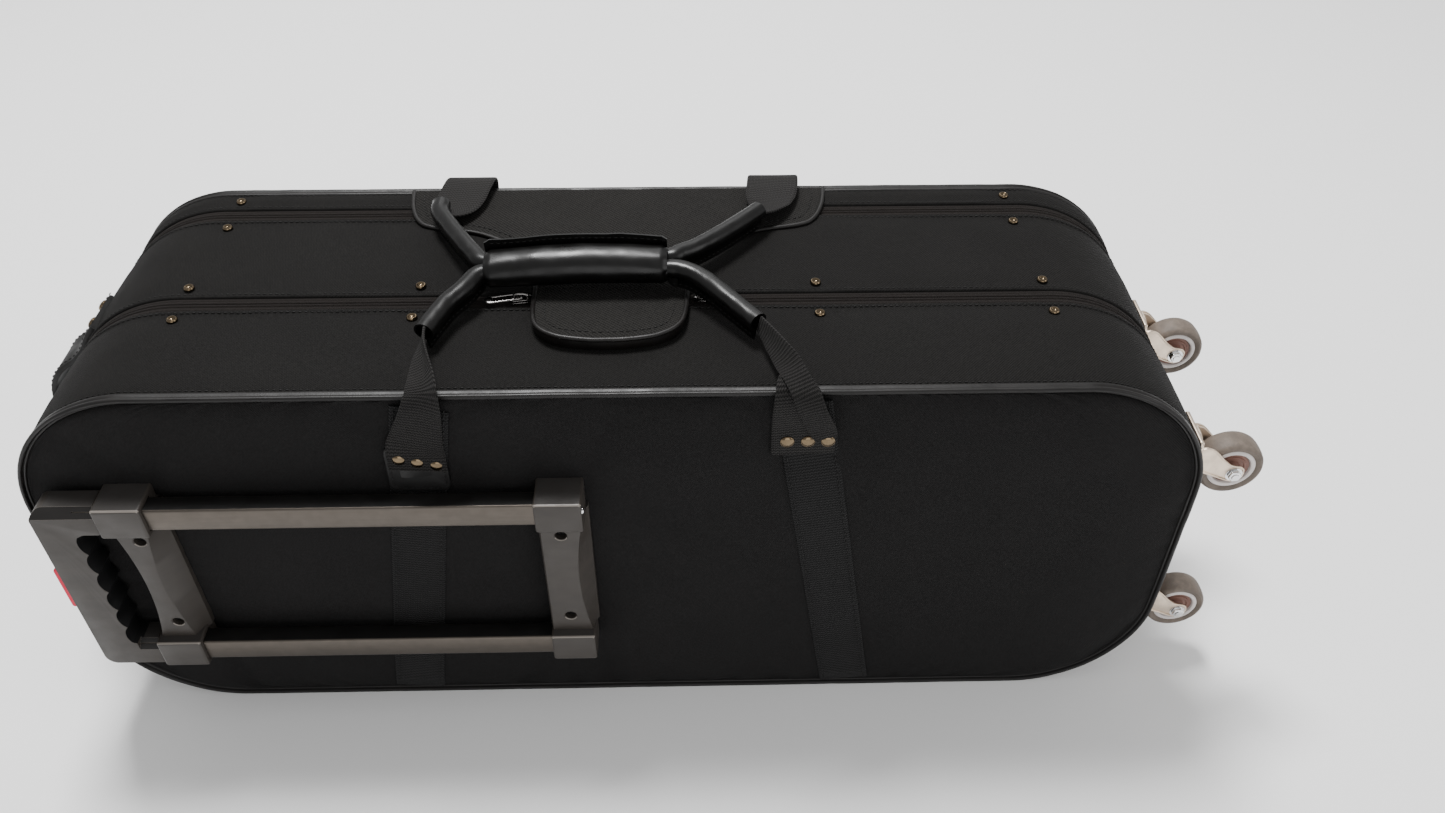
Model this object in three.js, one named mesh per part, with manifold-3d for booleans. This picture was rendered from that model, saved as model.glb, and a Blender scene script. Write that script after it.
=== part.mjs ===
// A wheeled three-ball bowling bag lying on its long side, handles up.
// Millimetres. +X runs to the caster end, -Y is the front panel with the trolley handle, +Z is up.
// The origin is on the underside of the middle section, which rests on the floor.
import * as THREE from 'three';
import { mergeVertices } from 'three/addons/utils/BufferGeometryUtils.js';
import Module from 'manifold-3d';

const wasm = await Module();
wasm.setup();

// ---- Driving dimensions ----------------------------------------------------------------------
const LENGTH = 850;
const HEIGHT = 332;
const HALF_DEPTH = 132;
const CORNER_R = 102;
const WALL = 5;
const PANEL = 4;
const GAP = 0.3;
const FRONT_ZIP_Y = -25.5;
const REAR_ZIP_Y = 95;
const CORNER_STEPS = 4;

const BALL_R = 108;
const BALL_SPACING = 270;
const BALL_Y = -18.25;
const FOAM_DEPTH = 44;

const TAPE_W = 8;
const TAPE_THICK = 2;
const TAPE_END_Z = 45;
const PIPING_W = 7;
const PIPING_PROUD = 3;

const STRAP_W = 40;
const STRAP_THICK = 1.6;
const HANDLE_TUBE_R = 6.6;
const WRAP_R = 17.5;
const WRAP_BORE_R = 15.5;
const WRAP_Y = -10;
const WRAP_Z = 357;
const WRAP_MIN_X = -97;
const WRAP_MAX_X = 37;

const RAIL_Z = [242, 94];
const RAIL_H = 20;
const RAIL_D = 15;
const RAIL_WALL = 1.2;
const RAIL_Y = -150.5;
const CAP_LEFT_X = [-363, -329];
const CAP_RIGHT_X = [-58, -24];
const CAP_H = 28;
const CAP_FACE_Y = -162;
const CROSS_FACE_Y = -154;
const GRIP_END_X = -408;
const GRIP_Y = [-160, -138];
const GRIP_BAR_X = -380;
const GRIP_REACH = 11.5;
const CROSS_LEFT_X = [-362, -327];
const CROSS_RIGHT_X = [-57.5, -22];
const RECESS_R = 4.5;
const RECESS_DEPTH = 6;
const RECESS_Z = [216, 125];
const TUBE_X = [-378, -70];

const CASTER_Z = [240, 76];
const CASTER_Y = { front: -92, rear: 50 };
const WHEEL_R = 25;
const TYRE_W = 20;
const CASTER_TRAIL = 18;
const AXLE_X = 464;
const PLATE_X = 428;
const PLATE_SIZE = 38;
const PLATE_THICK = 2.5;
const KINGPIN_R = 4;
const FORK_THICK = 2.4;
const FORK_LEG_Y = 12.8;
const AXLE_R = 3;
const AXLE_HEAD_R = 5.5;
const AXLE_HALF = 17;
const HUB_R = 17;

// ---- Materials -------------------------------------------------------------------------------
function material(colour, roughness, metalness = 0) {
  return new THREE.MeshStandardMaterial({ color: colour, roughness, metalness });
}
const shellFabric = () => material(0x1c1c1d, 0.9);
const vinyl = () => material(0x17161a, 0.35);
const webbing = () => material(0x141415, 0.8);
const leather = () => material(0x161619, 0.45);
const foam = () => material(0x55575a, 0.95);
const board = () => material(0x2a2a2c, 0.9);
const zipTape = () => material(0x2c2523, 0.85);
const brass = () => material(0xb99a6a, 0.35, 1);
const steel = () => material(0xcfc6b8, 0.35, 1);
const chrome = () => material(0xd8d8da, 0.15, 1);
const aluminium = () => material(0x736b62, 0.4, 1);
const gunmetalPlastic = () => material(0x5a544e, 0.5);
const blackPlastic = () => material(0x161616, 0.6);
const redPlastic = () => material(0xc83c5a, 0.45);
const tyreRubber = () => material(0x786a5f, 0.8);
const hubPlastic = () => material(0xd9d2cc, 0.5);

// ---- Geometry helpers ------------------------------------------------------------------------
function solid(geometry) {
  const bare = geometry.index ? geometry.toNonIndexed() : geometry.clone();
  bare.deleteAttribute('normal');
  bare.deleteAttribute('uv');
  const merged = mergeVertices(bare, 1e-4);
  return new wasm.Manifold(new wasm.Mesh({
    numProp: 3,
    vertProperties: new Float32Array(merged.attributes.position.array),
    triVerts: new Uint32Array(merged.index.array),
  }));
}

function geometryOf(body) {
  const mesh = body.getMesh();
  const geometry = new THREE.BufferGeometry();
  geometry.setAttribute('position', new THREE.BufferAttribute(mesh.vertProperties, 3));
  geometry.setIndex(new THREE.BufferAttribute(mesh.triVerts, 1));
  geometry.computeVertexNormals();
  return geometry;
}

const join = (first, ...rest) => rest.reduce((sum, next) => sum.add(next), first);
const cut = (first, ...rest) => rest.reduce((left, tool) => left.subtract(tool), first);

function box(x0, x1, y0, y1, z0, z1) {
  const geometry = new THREE.BoxGeometry(x1 - x0, y1 - y0, z1 - z0);
  geometry.translate((x0 + x1) / 2, (y0 + y1) / 2, (z0 + z1) / 2);
  return solid(geometry);
}

// A round bar along 'x', 'y' or 'z' from one coordinate to the other.
function rod(axis, from, to, a, b, radius, sides = 16) {
  const geometry = new THREE.CylinderGeometry(radius, radius, to - from, sides);
  const middle = (from + to) / 2;
  if (axis === 'x') geometry.rotateZ(Math.PI / 2).translate(middle, a, b);
  if (axis === 'y') geometry.translate(a, middle, b);
  if (axis === 'z') geometry.rotateX(Math.PI / 2).translate(a, b, middle);
  return solid(geometry);
}

// An outline drawn in X and Z, extruded from y0 to y1.
function slab(shape, y0, y1, bevel = 0, curveSegments = CORNER_STEPS) {
  const geometry = new THREE.ExtrudeGeometry(shape, {
    depth: y1 - y0 - 2 * bevel,
    curveSegments,
    bevelEnabled: bevel > 0,
    bevelThickness: bevel,
    bevelSize: bevel,
    bevelOffset: -bevel,
    bevelSegments: 1,
  });
  geometry.rotateX(Math.PI / 2).translate(0, y1 - bevel, 0);
  return solid(geometry);
}

function roundedRect(x0, x1, z0, z1, r) {
  const shape = new THREE.Shape();
  shape.absarc(x1 - r, z1 - r, r, 0, Math.PI / 2);
  shape.absarc(x0 + r, z1 - r, r, Math.PI / 2, Math.PI);
  shape.absarc(x0 + r, z0 + r, r, Math.PI, 1.5 * Math.PI);
  shape.absarc(x1 - r, z0 + r, r, 1.5 * Math.PI, 2 * Math.PI);
  shape.closePath();
  return shape;
}

// The bag's end-on outline, drawn in by the given inset.
function outline(inset) {
  const half = LENGTH / 2 - inset;
  return roundedRect(-half, half, inset, HEIGHT - inset, CORNER_R - inset);
}

const block = (inset, y0, y1) => slab(outline(inset), y0, y1);
const ring = (outer, inner, y0, y1) => cut(block(outer, y0, y1), block(inner, y0 - 1, y1 + 1));

function polygon(points) {
  return new THREE.Shape(points.map(([a, b]) => new THREE.Vector2(a, b)));
}

// ---- Assembly helpers ------------------------------------------------------------------------
const bag = new THREE.Group();
const sections = {};
for (const name of ['middle', 'front', 'rear', 'trolley', 'handles', 'casters', 'zips']) {
  sections[name] = new THREE.Group();
  bag.add(sections[name]);
}

function place(section, name, body, finish, position = [0, 0, 0]) {
  const mesh = new THREE.Mesh(geometryOf(body), finish);
  mesh.name = name;
  mesh.position.set(...position);
  sections[section].add(mesh);
}

// ---- Zipper grooves and tapes ----------------------------------------------------------------
// The zipper runs up one end, along the top and down the other end.
function zipArch(outer, inner, y0, y1, endZ) {
  return cut(ring(outer, inner, y0, y1), box(-LENGTH, LENGTH, y0 - 2, y1 + 2, -LENGTH, endZ));
}

function zipGroove(edge, inward) {
  const [y0, y1] = inward > 0 ? [edge - 1, edge + TAPE_W] : [edge - TAPE_W, edge + 1];
  return zipArch(-2, TAPE_THICK + 2 * GAP, y0, y1, TAPE_END_Z);
}

function zipTapeBody(edge, inward) {
  const near = edge + inward * GAP;
  const far = edge + inward * (TAPE_W - GAP);
  const inset = 0.2;
  return zipArch(inset, TAPE_THICK + inset, Math.min(near, far), Math.max(near, far), TAPE_END_Z + GAP);
}

// ---- Riveted strips --------------------------------------------------------------------------
// Rivets through the top gusset, clenched on one strip inside it.
const TOP_RIVET_R = 3.9;
const SHANK_R = 2.2;

function topRivets(xs, y) {
  const inside = HEIGHT - WALL - GAP;
  const strip = box(Math.min(...xs) - 3, Math.max(...xs) + 3, y - 6, y + 6, inside - 1.5, inside);
  const rivets = xs.map((x) => join(
    rod('z', inside - 1, HEIGHT + 1, x, y, SHANK_R, 8),
    rod('z', HEIGHT + GAP, HEIGHT + 1.8, x, y, TOP_RIVET_R, 12),
  ));
  return join(strip, ...rivets);
}

const topRivetHoles = (xs, y) => xs.map((x) => rod(
  'z', HEIGHT - 2 * WALL, HEIGHT + 5, x, y, SHANK_R + GAP, 8,
));

// Rivets through a strap and the panel under it. side is -1 at the front and 1 at the rear.
const HANDLE_RIVET_R = 5;

function panelRivets(spots, side) {
  const inside = HALF_DEPTH - PANEL - GAP;
  const strapFace = HALF_DEPTH + GAP + STRAP_THICK;
  const span = (from, to) => (side > 0 ? [from, to] : [-to, -from]);
  const xs = spots.map(([x]) => x);
  const zs = spots.map(([, z]) => z);
  const strip = box(Math.min(...xs) - 8, Math.max(...xs) + 8, ...span(inside - 1.5, inside),
    Math.min(...zs) - 8, Math.max(...zs) + 8);
  const rivets = spots.map(([x, z]) => join(
    rod('y', ...span(inside - 1, strapFace + 1), x, z, 1.8, 8),
    rod('y', ...span(strapFace + GAP, strapFace + 1.8), x, z, HANDLE_RIVET_R, 10),
  ));
  return join(strip, ...rivets);
}

const panelRivetHoles = (spots) => spots.map(([x, z]) => rod('y', -170, 170, x, z, 1.8 + GAP, 8));

const FRONT_ZIP_RIVETS = [-320, -148, 148, 320];
const REAR_ZIP_RIVETS = [-315, 315];
const ZIP_RIVET_OFFSET = 19.5;
const FRONT_SPOTS = [[-151, 277], [-138.5, 274], [-125.5, 271], [120, 290], [134.5, 290], [148.5, 290]];
const REAR_SPOTS = [[-145, 286], [-132, 286], [-119, 286], [112, 286], [125, 286], [138, 286]];

// ---- Foam ball trays -------------------------------------------------------------------------
// A ball rests against the rim of a round hole, which is as wide as the ball is at the tray's face.
function ballTray(y0, y1) {
  const reach = Math.min(Math.abs(y0 - BALL_Y), Math.abs(y1 - BALL_Y));
  const seatR = Math.sqrt(BALL_R ** 2 - reach ** 2) + 0.8;
  const seats = [-1, 0, 1].map((i) => rod('y', y0 - 1, y1 + 1, i * BALL_SPACING, HEIGHT / 2, seatR, 28));
  return cut(block(WALL + GAP, y0, y1), ...seats);
}

// ---- Middle section --------------------------------------------------------------------------
function buildMiddle() {
  const front = FRONT_ZIP_Y + GAP;
  const rear = REAR_ZIP_Y - GAP;
  const rearRivetY = REAR_ZIP_Y - ZIP_RIVET_OFFSET;
  const frontRivetY = FRONT_ZIP_Y + ZIP_RIVET_OFFSET;
  const dividerY = rear - 3.2;
  place('middle', 'case_shell', cut(
    ring(0, WALL, front, rear),
    zipGroove(FRONT_ZIP_Y, 1),
    zipGroove(REAR_ZIP_Y, -1),
    ...topRivetHoles(FRONT_ZIP_RIVETS, frontRivetY),
    ...topRivetHoles(REAR_ZIP_RIVETS, rearRivetY),
  ), shellFabric());
  place('middle', 'divider_panel', block(WALL + GAP, dividerY, rear), board());
  place('middle', 'rear_foam_tray', cut(
    ballTray(dividerY - GAP - FOAM_DEPTH, dividerY - GAP),
    box(-330, 330, rearRivetY - 7, rearRivetY + 7, HEIGHT - WALL - 2.5, HEIGHT),
  ), foam());
  place('middle', 'case_front_zip_tape', zipTapeBody(FRONT_ZIP_Y, 1), zipTape());
  place('middle', 'case_rear_zip_tape', zipTapeBody(REAR_ZIP_Y, -1), zipTape());
  place('middle', 'case_front_rivets', topRivets(FRONT_ZIP_RIVETS, frontRivetY), brass());
  place('middle', 'case_rear_rivets', topRivets(REAR_ZIP_RIVETS, rearRivetY), brass());
  place('middle', 'end_handle', endHandle(), leather());
}

// A flat strap bowed out from the plain end, with its feet lying on the shell.
const END_HANDLE_Y = [-12, 30];

function endHandle() {
  const thick = 2.4;
  const middleLine = new THREE.CatmullRomCurve3([
    [-424, 76], [-431, 92], [-444, 116], [-452, 155], [-456, 200], [-454, 230], [-448, 248], [-438, 260],
    [-426, 268], [-415.9, 278.2], [-407.7, 291.6], [-395, 306],
  ].map(([x, z]) => new THREE.Vector3(x, z, 0)));
  const steps = 24;
  const outer = [];
  const inner = [];
  for (let i = 0; i <= steps; i += 1) {
    const at = middleLine.getPoint(i / steps);
    const along = middleLine.getTangent(i / steps);
    outer.push([at.x - along.y * thick, at.y + along.x * thick]);
    inner.push([at.x + along.y * thick, at.y - along.x * thick]);
  }
  const band = slab(polygon([...outer, ...inner.reverse()]), ...END_HANDLE_Y);
  return cut(band, block(-GAP, END_HANDLE_Y[0] - 5, END_HANDLE_Y[1] + 5));
}

// ---- Front section ---------------------------------------------------------------------------
// The walls stop short of the panel's edge, where a piping ring stands a little proud of it.
function lidWalls(side) {
  const zip = side < 0 ? FRONT_ZIP_Y : REAR_ZIP_Y;
  const ends = [zip + side * GAP, side * (HALF_DEPTH - PANEL + GAP)].sort((a, b) => a - b);
  return cut(ring(0, WALL, ...ends), zipGroove(zip, side));
}

function lidPanel(side) {
  const faces = [side * (HALF_DEPTH - PANEL), side * HALF_DEPTH].sort((a, b) => a - b);
  return block(PIPING_W + GAP, ...faces);
}

function piping(side) {
  const inner = side * (HALF_DEPTH - PANEL + 2 * GAP);
  const outer = side * (HALF_DEPTH + PIPING_PROUD);
  const y0 = Math.min(inner, outer);
  const y1 = Math.max(inner, outer);
  const bead = slab(outline(0), y0, y1, 2);
  return cut(bead, block(PIPING_W, y0 - 1, y1 + 1));
}

// Straps sewn to the panel lean outward from the handle down to the bottom edge.
function panelStrap(sign, topX, bottomX, spots, side) {
  const half = STRAP_W / 2;
  const top = 322;
  const bottom = 9;
  const shape = polygon([
    [sign * bottomX - half, bottom], [sign * bottomX + half, bottom],
    [sign * topX + half, top], [sign * topX - half, top],
  ]);
  const near = HALF_DEPTH + GAP;
  const far = near + STRAP_THICK;
  const band = side < 0 ? slab(shape, -far, -near) : slab(shape, near, far);
  return cut(band, ...panelRivetHoles(spots));
}

function buildFront() {
  const rivetY = FRONT_ZIP_Y - ZIP_RIVET_OFFSET;
  const trayFace = -(HALF_DEPTH - PANEL - 2 - GAP);
  const walls = cut(lidWalls(-1), ...topRivetHoles(FRONT_ZIP_RIVETS, rivetY));
  place('front', 'front_shell', walls, shellFabric());
  place('front', 'front_panel', cut(lidPanel(-1), ...panelRivetHoles(FRONT_SPOTS)), shellFabric());
  place('front', 'front_piping', piping(-1), vinyl());
  place('front', 'front_foam_tray', ballTray(trayFace, trayFace + FOAM_DEPTH), foam());
  place('front', 'front_zip_tape', zipTapeBody(FRONT_ZIP_Y, -1), zipTape());
  place('front', 'front_lid_rivets', topRivets(FRONT_ZIP_RIVETS, rivetY), brass());
  place('front', 'front_strap_left', panelStrap(-1, 130, 180, FRONT_SPOTS, -1), webbing());
  place('front', 'front_strap_right', panelStrap(1, 130, 180, FRONT_SPOTS, -1), webbing());
  place('front', 'front_handle_rivets', panelRivets(FRONT_SPOTS, -1), brass());
}

// ---- Rear lid --------------------------------------------------------------------------------
// The rear lid's walls and panel are one moulded board, joined by a thin rim under the piping.
const rearRim = () => ring(0, PIPING_W + 2, HALF_DEPTH - PANEL, HALF_DEPTH - PANEL + GAP);

function buildRear() {
  const rivetY = REAR_ZIP_Y + ZIP_RIVET_OFFSET;
  place('rear', 'rear_shell', cut(
    join(lidWalls(1), lidPanel(1), rearRim()),
    ...topRivetHoles(REAR_ZIP_RIVETS, rivetY),
    ...panelRivetHoles(REAR_SPOTS),
  ), shellFabric());
  place('rear', 'rear_piping', piping(1), vinyl());
  place('rear', 'rear_zip_tape', zipTapeBody(REAR_ZIP_Y, 1), zipTape());
  place('rear', 'rear_lid_rivets', topRivets(REAR_ZIP_RIVETS, rivetY), brass());
  place('rear', 'rear_strap_left', panelStrap(-1, 127, 173, REAR_SPOTS, 1), webbing());
  place('rear', 'rear_strap_right', panelStrap(1, 120, 166, REAR_SPOTS, 1), webbing());
  place('rear', 'rear_handle_rivets', panelRivets(REAR_SPOTS, 1), brass());
  place('rear', 'closure_flap', closureFlap(), shellFabric());
}

// A wide yoke along the rear edge narrows to a tongue that covers the front zipper.
function closureFlap() {
  const middleX = -5;
  const right = [[166, 100], [158, 80], [146, 71], [112, 63], [88, 50], [70, 36], [61, 18], [57, -6],
    [55, -46], [50, -68], [36, -80], [14, -84.5]];
  const left = right.map(([x, y]) => [-x, y]).reverse();
  const shape = polygon([[-170, 126], [170, 126], ...right, ...left].map(([x, y]) => [x + middleX, y]));
  const geometry = new THREE.ExtrudeGeometry(shape, { depth: 2.2, bevelEnabled: false });
  geometry.translate(0, 0, HEIGHT + GAP);
  return solid(geometry);
}

// ---- Carry handles ---------------------------------------------------------------------------
const tubeSection = (radius) => new THREE.Shape().absarc(0, 0, radius, 0, 2 * Math.PI);

function tube(points, radius, steps) {
  const path = new THREE.CatmullRomCurve3(points.map((p) => new THREE.Vector3(...p)));
  const geometry = new THREE.ExtrudeGeometry(tubeSection(radius), {
    steps, curveSegments: 4, extrudePath: path, bevelEnabled: false,
  });
  return solid(geometry);
}

// Both handles run straight through the wrap, side by side, and spread to their feet outside it.
function handlePath(gripY, leftEnd, rightEnd) {
  const straight = [-0.02, 0.08, 0.5, 0.92, 1.02].map((t) => [
    WRAP_MIN_X + t * (WRAP_MAX_X - WRAP_MIN_X), gripY, WRAP_Z,
  ]);
  return [...leftEnd, ...straight, ...rightEnd];
}

function buildHandles() {
  const offset = HANDLE_TUBE_R + 0.7;
  const footY = 137;
  const footZ = 344;
  const frontPath = handlePath(
    WRAP_Y - offset,
    [[-139, -footY, footZ], [-134, -84, 349], [-127, -56, 353], [-112, -31, 356]],
    [[52, -27, 356], [82, -52, 354], [103, -79, 350], [130, -footY, footZ]],
  );
  const rearPath = handlePath(
    WRAP_Y + offset,
    [[-132, footY, footZ], [-144, 88, 348], [-130, 50, 352], [-112, 13, 356]],
    [[52, 8, 356], [84, 38, 354], [108, 66, 351], [124, footY, footZ]],
  );
  place('handles', 'front_handle', tube(frontPath, HANDLE_TUBE_R, 24), leather());
  place('handles', 'rear_handle', tube(rearPath, HANDLE_TUBE_R, 24), leather());
  place('handles', 'handle_wrap', handleWrap(), leather());
}

// The wrap closes round both grips and is open towards the rear, where its flap is lifted.
function handleWrap() {
  const mouth = 0.27 * Math.PI;
  const shape = new THREE.Shape();
  shape.absarc(0, 0, WRAP_R, mouth, 2 * Math.PI - mouth);
  shape.absarc(0, 0, WRAP_BORE_R, 2 * Math.PI - mouth, mouth, true);
  shape.closePath();
  const geometry = new THREE.ExtrudeGeometry(shape, {
    depth: WRAP_MAX_X - WRAP_MIN_X, curveSegments: 9, bevelEnabled: false,
  });
  // The outline's first axis becomes +Y and its second +Z.
  geometry.rotateX(Math.PI / 2).rotateZ(Math.PI / 2).translate(WRAP_MIN_X, WRAP_Y, WRAP_Z);
  return solid(geometry);
}

// ---- Trolley handle --------------------------------------------------------------------------
const hollow = (x0, x1, h, d, z, wall) => cut(
  box(x0, x1, RAIL_Y - d / 2, RAIL_Y + d / 2, z - h / 2, z + h / 2),
  box(x0 - 1, x1 + 1, RAIL_Y - d / 2 + wall, RAIL_Y + d / 2 - wall, z - h / 2 + wall, z + h / 2 - wall),
);

const socket = (x0, x1, h, d, z) => box(
  x0, x1, RAIL_Y - d / 2 - GAP, RAIL_Y + d / 2 + GAP, z - h / 2 - GAP, z + h / 2 + GAP,
);

const TUBE_H = RAIL_H - 2 * RAIL_WALL - 2 * GAP;
const TUBE_D = RAIL_D - 2 * RAIL_WALL - 2 * GAP;
const RAIL_START = CAP_LEFT_X[0] + 2.5;
const RAIL_END = CAP_RIGHT_X[1] - 3;
const RAIL_MID_Z = (RAIL_Z[0] + RAIL_Z[1]) / 2;
// The crosspieces run into the caps a little at each end.
const CROSS_Z = [RAIL_Z[1] + 8, RAIL_Z[0] - 8];

// A bracket is one moulding: two caps that hold the rails and a lower crosspiece between them.
function bracket([x0, x1], crosspiece, screwX) {
  const back = -(HALF_DEPTH + GAP);
  const caps = RAIL_Z.map((z) => {
    const shape = roundedRect(x0, x1, z - CAP_H / 2, z + CAP_H / 2, 2);
    return slab(shape, CAP_FACE_Y, back, 0, 2);
  });
  const bridge = slab(crosspiece, CROSS_FACE_Y, back, 0, 10);
  const recesses = RECESS_Z.map((z) => rod(
    'y', CROSS_FACE_Y - 1, CROSS_FACE_Y + RECESS_DEPTH, screwX, z, RECESS_R, 14,
  ));
  return cut(join(...caps, bridge), ...recesses);
}

function leftCrosspiece() {
  const [left, right] = CROSS_LEFT_X;
  const waist = left + 15;
  const shape = new THREE.Shape();
  shape.moveTo(right, CROSS_Z[0]);
  shape.lineTo(right, CROSS_Z[1]);
  shape.lineTo(left, CROSS_Z[1]);
  shape.quadraticCurveTo(waist, RAIL_MID_Z, left, CROSS_Z[0]);
  shape.closePath();
  return shape;
}

function buildTrolley() {
  const leftSockets = RAIL_Z.flatMap((z) => [
    socket(RAIL_START - GAP, CAP_LEFT_X[1] + 5, RAIL_H, RAIL_D, z),
    socket(CAP_LEFT_X[0] - 5, RAIL_START + 1, TUBE_H, TUBE_D, z),
  ]);
  const rightSockets = RAIL_Z.map((z) => socket(CAP_RIGHT_X[0] - 5, RAIL_END + GAP, RAIL_H, RAIL_D, z));
  const rightCrosspiece = roundedRect(...CROSS_RIGHT_X, ...CROSS_Z, 1);
  const leftScrewX = CROSS_LEFT_X[1] - 16;
  const rightScrewX = CROSS_RIGHT_X[0] + 15.5;
  place('trolley', 'trolley_bracket_left',
    cut(bracket(CAP_LEFT_X, leftCrosspiece(), leftScrewX), ...leftSockets), gunmetalPlastic());
  place('trolley', 'trolley_bracket_right',
    cut(bracket(CAP_RIGHT_X, rightCrosspiece, rightScrewX), ...rightSockets), gunmetalPlastic());
  const names = ['upper', 'lower'];
  RAIL_Z.forEach((z, i) => {
    const rail = hollow(RAIL_START, RAIL_END, RAIL_H, RAIL_D, z, RAIL_WALL);
    place('trolley', `trolley_rail_${names[i]}`, rail, aluminium());
    const tubeBody = hollow(...TUBE_X, TUBE_H, TUBE_D, z, RAIL_WALL);
    place('trolley', `trolley_tube_${names[i]}`, tubeBody, aluminium());
  });
  place('trolley', 'trolley_grip', trolleyGrip(), gunmetalPlastic());
  const face = roundedRect(GRIP_END_X - BUTTON_PROUD, GRIP_END_X + 6, ...BUTTON_Z, 2);
  place('trolley', 'trolley_button', slab(face, ...BUTTON_Y, 0, 3), redPlastic());
}

const BUTTON_PROUD = 4.5;
const BUTTON_Z = [RAIL_MID_Z - 18, RAIL_MID_Z + 24];
const BUTTON_Y = [-158.3, -144];

// The grip is a bar with finger scallops and an arm at each end, open towards the bracket.
function trolleyGrip() {
  const [upper, lower] = RAIL_Z;
  const armEnd = CAP_LEFT_X[0] - GAP;
  const cornerR = 9;
  const fingers = 6;
  const step = (upper - lower - 2 * GRIP_REACH) / fingers;
  const shape = new THREE.Shape();
  shape.moveTo(armEnd, lower - GRIP_REACH + 1);
  shape.lineTo(armEnd, lower + GRIP_REACH - 1);
  shape.lineTo(GRIP_BAR_X + 4, lower + GRIP_REACH);
  for (let i = 0; i < fingers; i += 1) {
    const z = lower + GRIP_REACH + i * step;
    shape.quadraticCurveTo(GRIP_BAR_X - 5, z + step / 2, GRIP_BAR_X + 1, z + step);
  }
  shape.lineTo(armEnd, upper - GRIP_REACH + 1);
  shape.lineTo(armEnd, upper + GRIP_REACH - 1);
  shape.absarc(GRIP_END_X + cornerR, upper + GRIP_REACH - cornerR, cornerR, Math.PI / 2, Math.PI);
  shape.absarc(GRIP_END_X + cornerR, lower - GRIP_REACH + cornerR, cornerR, Math.PI, 1.5 * Math.PI);
  shape.closePath();
  const buttonPocket = box(
    GRIP_END_X - 5, GRIP_END_X + 12,
    BUTTON_Y[0] - GAP, BUTTON_Y[1] + GAP,
    BUTTON_Z[0] - GAP, BUTTON_Z[1] + GAP,
  );
  const sockets = RAIL_Z.map((z) => socket(TUBE_X[0] - GAP, armEnd + 20, TUBE_H, TUBE_D, z));
  return cut(slab(shape, ...GRIP_Y, 0, 4), buttonPocket, ...sockets);
}

// ---- Swivel casters --------------------------------------------------------------------------
// A wedge pad fills the curve of the end so that the caster plates stand flat.
function casterPad(y) {
  const half = PLATE_SIZE / 2 + 3;
  const [low, high] = [CASTER_Z[1] - half, CASTER_Z[0] + half];
  const wedge = box(LENGTH / 2 - 30, PLATE_X - GAP, y - half, y + half, low, high);
  return cut(wedge, block(-GAP, y - half - 4, y + half + 4));
}

function casterPlate() {
  const half = PLATE_SIZE / 2;
  const plate = box(0, PLATE_THICK, -half, half, -half, half);
  const kingpin = rod('x', PLATE_THICK - 0.5, 7, 0, 0, KINGPIN_R, 10);
  const kingpinHead = rod('x', 6.4, 8, 0, 0, KINGPIN_R + 2.5, 10);
  return join(plate, kingpin, kingpinHead);
}

function casterFork() {
  const near = PLATE_THICK + 0.6;
  const far = near + FORK_THICK + 0.5;
  const legNear = near + 0.3;
  const [legLow, legHigh] = [-14, 9];
  const axleX = AXLE_X - PLATE_X;
  const leg = (y) => {
    const shape = new THREE.Shape();
    shape.moveTo(legNear, legLow);
    shape.lineTo(legNear, legHigh);
    shape.lineTo(16, legHigh);
    shape.absarc(axleX, -CASTER_TRAIL, 8, 0.35 * Math.PI, -0.75 * Math.PI, true);
    shape.closePath();
    return slab(shape, y - FORK_THICK / 2, y + FORK_THICK / 2, 0, 3);
  };
  const reach = FORK_LEG_Y + 0.8;
  const shoulders = box(legNear - 0.1, far, -reach, reach, legLow + 1, legHigh);
  const base = join(rod('x', near, far, 0, 0, PLATE_SIZE * 0.41, 16), shoulders);
  const kingpinHole = rod('x', 0, 10, 0, 0, KINGPIN_R + 0.4, 10);
  const frame = cut(join(base, leg(FORK_LEG_Y), leg(-FORK_LEG_Y)), kingpinHole);
  const axle = rod('y', -AXLE_HALF - 0.5, AXLE_HALF + 0.5, axleX, -CASTER_TRAIL, AXLE_R, 8);
  const heads = [[-AXLE_HALF, 4 - AXLE_HALF], [AXLE_HALF - 4, AXLE_HALF]].map(
    ([from, to]) => rod('y', from, to, axleX, -CASTER_TRAIL, AXLE_HEAD_R, 6),
  );
  return join(frame, axle, ...heads);
}

const lathe = (points, sides) => solid(new THREE.LatheGeometry(
  points.map(([r, y]) => new THREE.Vector2(r, y)), sides,
));

function casterTyre() {
  const half = TYRE_W / 2;
  const inner = HUB_R + 0.3;
  return lathe([
    [inner, 1 - half], [WHEEL_R - 4, -half], [WHEEL_R - 1, 3 - half], [WHEEL_R, 0],
    [WHEEL_R - 1, half - 3], [WHEEL_R - 4, half], [inner, half - 1], [inner, 1 - half],
  ], 20);
}

function casterHub() {
  const half = TYRE_W / 2;
  const bore = AXLE_R + 0.4;
  const bossR = 7;
  const boss = half + 0.6;
  const dish = half - 2;
  const rimR = HUB_R - 0.2;
  return lathe([
    [bore, -boss], [bossR, -boss], [bossR + 1, -dish], [rimR, 1 - half],
    [rimR, half - 1], [bossR + 1, dish], [bossR, boss], [bore, boss], [bore, -boss],
  ], 20);
}

function buildCasters() {
  const heights = ['upper', 'lower'];
  for (const [side, y] of Object.entries(CASTER_Y)) {
    place('casters', `${side}_caster_pad`, casterPad(y), blackPlastic());
    CASTER_Z.forEach((z, i) => {
      const name = `${side}_${heights[i]}`;
      const axle = [AXLE_X, y, z - CASTER_TRAIL];
      place('casters', `${name}_caster_plate`, casterPlate(), steel(), [PLATE_X, y, z]);
      place('casters', `${name}_caster_fork`, casterFork(), steel(), [PLATE_X, y, z]);
      place('casters', `${name}_caster_tyre`, casterTyre(), tyreRubber(), axle);
      place('casters', `${name}_caster_hub`, casterHub(), hubPlastic(), axle);
    });
  }
}

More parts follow.
